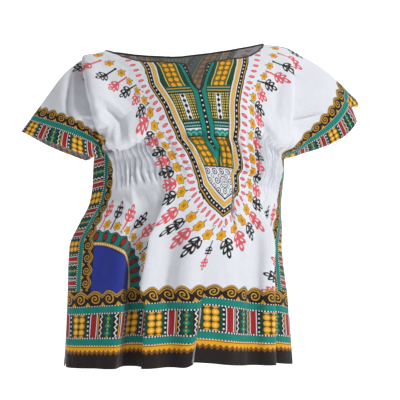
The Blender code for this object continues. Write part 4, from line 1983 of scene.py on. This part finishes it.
@dataclass(frozen=True)
class EdgingCotton:
    """Dark bias strip: a fine slanting weave with worn, paler ridges."""

    roughness: float = 0.8
    sheen: float = 0.1
    worn_scale: float = 260.0
    worn_shade: Range = (2.2, -0.9)
    worn_share: float = 0.6
    thread_scale: float = 700.0
    thread_waver: float = 1.5
    thread_strength: float = 0.6
    thread_height: float = 0.2

    def material(self, name: str) -> Material:
        """Make the finish.

        Args:
            name: The material's name.

        Returns:
            The material.
        """
        material, tree, shader = new_finish(name)
        place = tree.nodes.new("ShaderNodeTexCoord").outputs["Object"]
        noise = tree.nodes.new("ShaderNodeTexNoise")
        settle(noise, {"Scale": self.worn_scale, "Detail": 4.0})
        tree.links.new(place, noise.inputs["Vector"])
        threads = tree.nodes.new("ShaderNodeTexWave")
        threads.wave_type = "BANDS"
        threads.bands_direction = "DIAGONAL"
        settle(threads, {"Scale": self.thread_scale, "Distortion": self.thread_waver})
        tree.links.new(place, threads.inputs["Vector"])
        paint = Paint(tree, Ink.EDGING)
        worn = Value(tree, noise.outputs[0]).scaled(*self.worn_shade, clamp=True)
        paint.lay(Ink.WORN, worn * self.worn_share)
        normal = bumped(tree, threads.outputs["Fac"], self.thread_strength, self.thread_height)
        tree.links.new(paint.colour, shader.inputs["Base Color"])
        tree.links.new(normal, shader.inputs["Normal"])
        settle(shader, {"Roughness": self.roughness, "Sheen Weight": self.sheen})
        material.diffuse_color = Ink.EDGING.value
        return material


@dataclass(frozen=True)
class NeckEdging:
    """The narrow bias strip that is folded over the edge of the neck opening."""

    front: ClothPanel
    back: ClothPanel
    width: float = 3.0
    thickness: float = 1.5
    roundness: float = 0.7
    sides: int = 10
    rings: int = 420
    smoothings: int = 3
    overlap: float = 1.1

    def loop(self) -> Pair:
        """Follow the neck opening once round.

        Returns:
            The points of the cloth's edge, and the cloth's normal at each.
        """
        edges, normals = [], []
        for panel in (self.front, self.back):
            outer, inner, cuts, _ = panel.sheets()
            neck = np.abs(cuts[0]) <= panel.form.neckline.rows[-1][0]
            edges.append(((outer + inner) / 2)[0][neck])
            normals.append(unit(outer - inner)[0][neck])
        points, ways = (np.concatenate([front, back[::-1], front[:1]]) for front, back in (edges, normals))
        arc = summed(np.linalg.norm(np.diff(points, axis=0), axis=1))
        fine = np.linspace(0, arc[-1], self.rings, endpoint=False)
        turned = read_path(fine, arc, ways)
        for _ in range(self.smoothings):
            turned = unit(turned + 0.5 * (np.roll(turned, 1, axis=0) + np.roll(turned, -1, axis=0)))
        return read_path(fine, arc, points), turned

    def build(self, material: Material) -> Thing:
        """Make the edging.

        Args:
            material: Its finish.

        Returns:
            The piece.
        """
        points, normals = self.loop()
        tangents = unit(np.roll(points, -1, axis=0) - np.roll(points, 1, axis=0))
        inward = unit(np.cross(normals, tangents))
        normals = unit(np.cross(tangents, inward))
        turn = np.linspace(0, 2 * np.pi, self.sides, endpoint=False)
        flat = np.sign(np.cos(turn)) * np.abs(np.cos(turn)) ** self.roundness * self.width / 2
        rise = np.sign(np.sin(turn)) * np.abs(np.sin(turn)) ** self.roundness * self.thickness / 2
        centre = points + inward * (self.width / 2 - self.overlap)
        rings = centre[:, None] + inward[:, None] * flat[:, None] + normals[:, None] * rise[:, None]
        edging = make_piece("neck_edging", rings[:, ::-1], ring_faces(self.rings, self.sides), material)
        declare(edging, Slot.BINDING, "neck_binding")
        return edging


@dataclass(frozen=True)
class Studio:
    """A plain pale sweep, soft lights and the camera, in metres."""

    camera_place: Triple = (-0.4800, -1.7349, -0.2058)
    heading: float = -16.0
    view_width: float = 0.560
    view_distance: float = 1.8
    sensor: float = 36.0
    clip: Range = (0.05, 20.0)
    floor_height: float = -0.85
    floor_start: float = -4.0
    bend_start: float = 1.4
    bend_radius: float = 0.9
    bend_points: int = 14
    wall_top: float = 3.2
    half_width: float = 5.0
    paper: Colour = (0.93, 0.93, 0.94, 1.0)
    paper_roughness: float = 0.9
    paper_glow: float = 0.55
    air: Colour = (0.95, 0.97, 1.0, 1.0)
    ambient: float = 0.2
    backdrop: float = 0.95
    light_aim: Triple = (0.0, 0.0, -0.2)
    lights: tuple[tuple[str, Triple, float, float], ...] = (
        ("key_light", (1.62, -1.0, 1.75), 0.3, 44.0),
        ("fill_light", (-1.2, -2.0, 0.5), 2.0, 4.0),
        ("back_light", (-0.6, 1.2, 1.4), 1.4, 6.0),
    )

    def turned(self, across: float, away: float, up: float) -> Triple:
        """Turn a place given as the camera sees it into the shared frame.

        Args:
            across: To the camera's right of the top.
            away: Away from the camera, past the top.
            up: Up.

        Returns:
            The place.
        """
        angle = math.radians(self.heading)
        cos, sin = math.cos(angle), math.sin(angle)
        return (across * cos - away * sin, across * sin + away * cos, up)

    def light(self, name: str, place: Triple, size: float, power: float) -> None:
        """Hang an area light that points at the top.

        Args:
            name: Its name.
            place: Across, away and up, as the camera sees it.
            size: Side of its square.
            power: Its power, in watts.
        """
        data = bpy.data.lights.new(name, "AREA")
        data.size = size
        data.energy = power
        lamp = put(name, data)
        lamp.location = self.turned(*place)
        way = Vector(self.light_aim) - lamp.location
        lamp.rotation_euler = way.to_track_quat("-Z", "Y").to_euler()

    def sweep(self) -> None:
        """Lay the floor, which curves up into a backdrop."""
        profile = [(self.floor_start, self.floor_height), (self.bend_start, self.floor_height)]
        for turn in np.linspace(0, np.pi / 2, self.bend_points)[1:]:
            along = self.bend_start + self.bend_radius * math.sin(turn)
            profile.append((along, self.floor_height + self.bend_radius * (1 - math.cos(turn))))
        profile.append((self.bend_start + self.bend_radius, self.wall_top))
        sides = (-self.half_width, self.half_width)
        vertices = [self.turned(side, away, up) for away, up in profile for side in sides]
        faces = [[2 * i, 2 * i + 1, 2 * i + 3, 2 * i + 2] for i in range(len(profile) - 1)]
        mesh = bpy.data.meshes.new("sweep")
        mesh.from_pydata(vertices, [], faces)
        mesh.shade_smooth()
        material, _, shader = new_finish("sweep_paper")
        settle(shader, {"Base Color": self.paper, "Roughness": self.paper_roughness})
        settle(shader, {"Emission Color": (1.0, 1.0, 1.0, 1.0), "Emission Strength": self.paper_glow})
        mesh.materials.append(material)
        put("sweep", mesh)

    def sky(self) -> bpy.types.World:
        """Make the world: bright where the camera sees it, and dim where it lights the top.

        Returns:
            The world.
        """
        world = bpy.data.worlds.new("studio_world")
        world.use_nodes = True
        tree = world.node_tree
        background = tree.nodes["Background"]
        background.inputs["Color"].default_value = self.air
        seen = tree.nodes.new("ShaderNodeLightPath").outputs["Is Camera Ray"]
        share = Value(tree, seen).scaled(self.backdrop - self.ambient, self.ambient)
        tree.links.new(share.socket, background.inputs["Strength"])
        return world

    def camera(self) -> Thing:
        """Make the camera.

        Returns:
            The camera.
        """
        data = bpy.data.cameras.new("camera")
        data.sensor_width = self.sensor
        data.lens = self.sensor * self.view_distance / self.view_width
        data.clip_start, data.clip_end = self.clip
        camera = put("camera", data)
        camera.location = self.camera_place
        camera.rotation_euler = (math.pi / 2, 0.0, math.radians(self.heading))
        return camera

    def build(self) -> None:
        """Set up the whole studio."""
        scene = bpy.context.scene
        self.sweep()
        for lamp in self.lights:
            self.light(*lamp)
        scene.world = self.sky()
        scene.view_settings.view_transform = "Standard"
        scene.camera = self.camera()


def main() -> None:
    """Build the top piece by piece, then the studio."""
    logging.basicConfig(level=logging.INFO, format="%(name)s: %(message)s")
    form = WornForm()
    plan = PrintPlan(form)
    creases = Creases()
    cloth = PrintedCotton().material(plan)
    front = ClothPanel(Side.FRONT, "front_cloth", "front_panel", form, plan, creases)
    back = ClothPanel(Side.BACK, "back_cloth", "back_panel", form, plan, creases)
    front.build(cloth)
    back.build(cloth)
    NeckEdging(front, back).build(EdgingCotton().material("edging_cotton"))
    Studio().build()


if __name__ == "__main__":
    main()
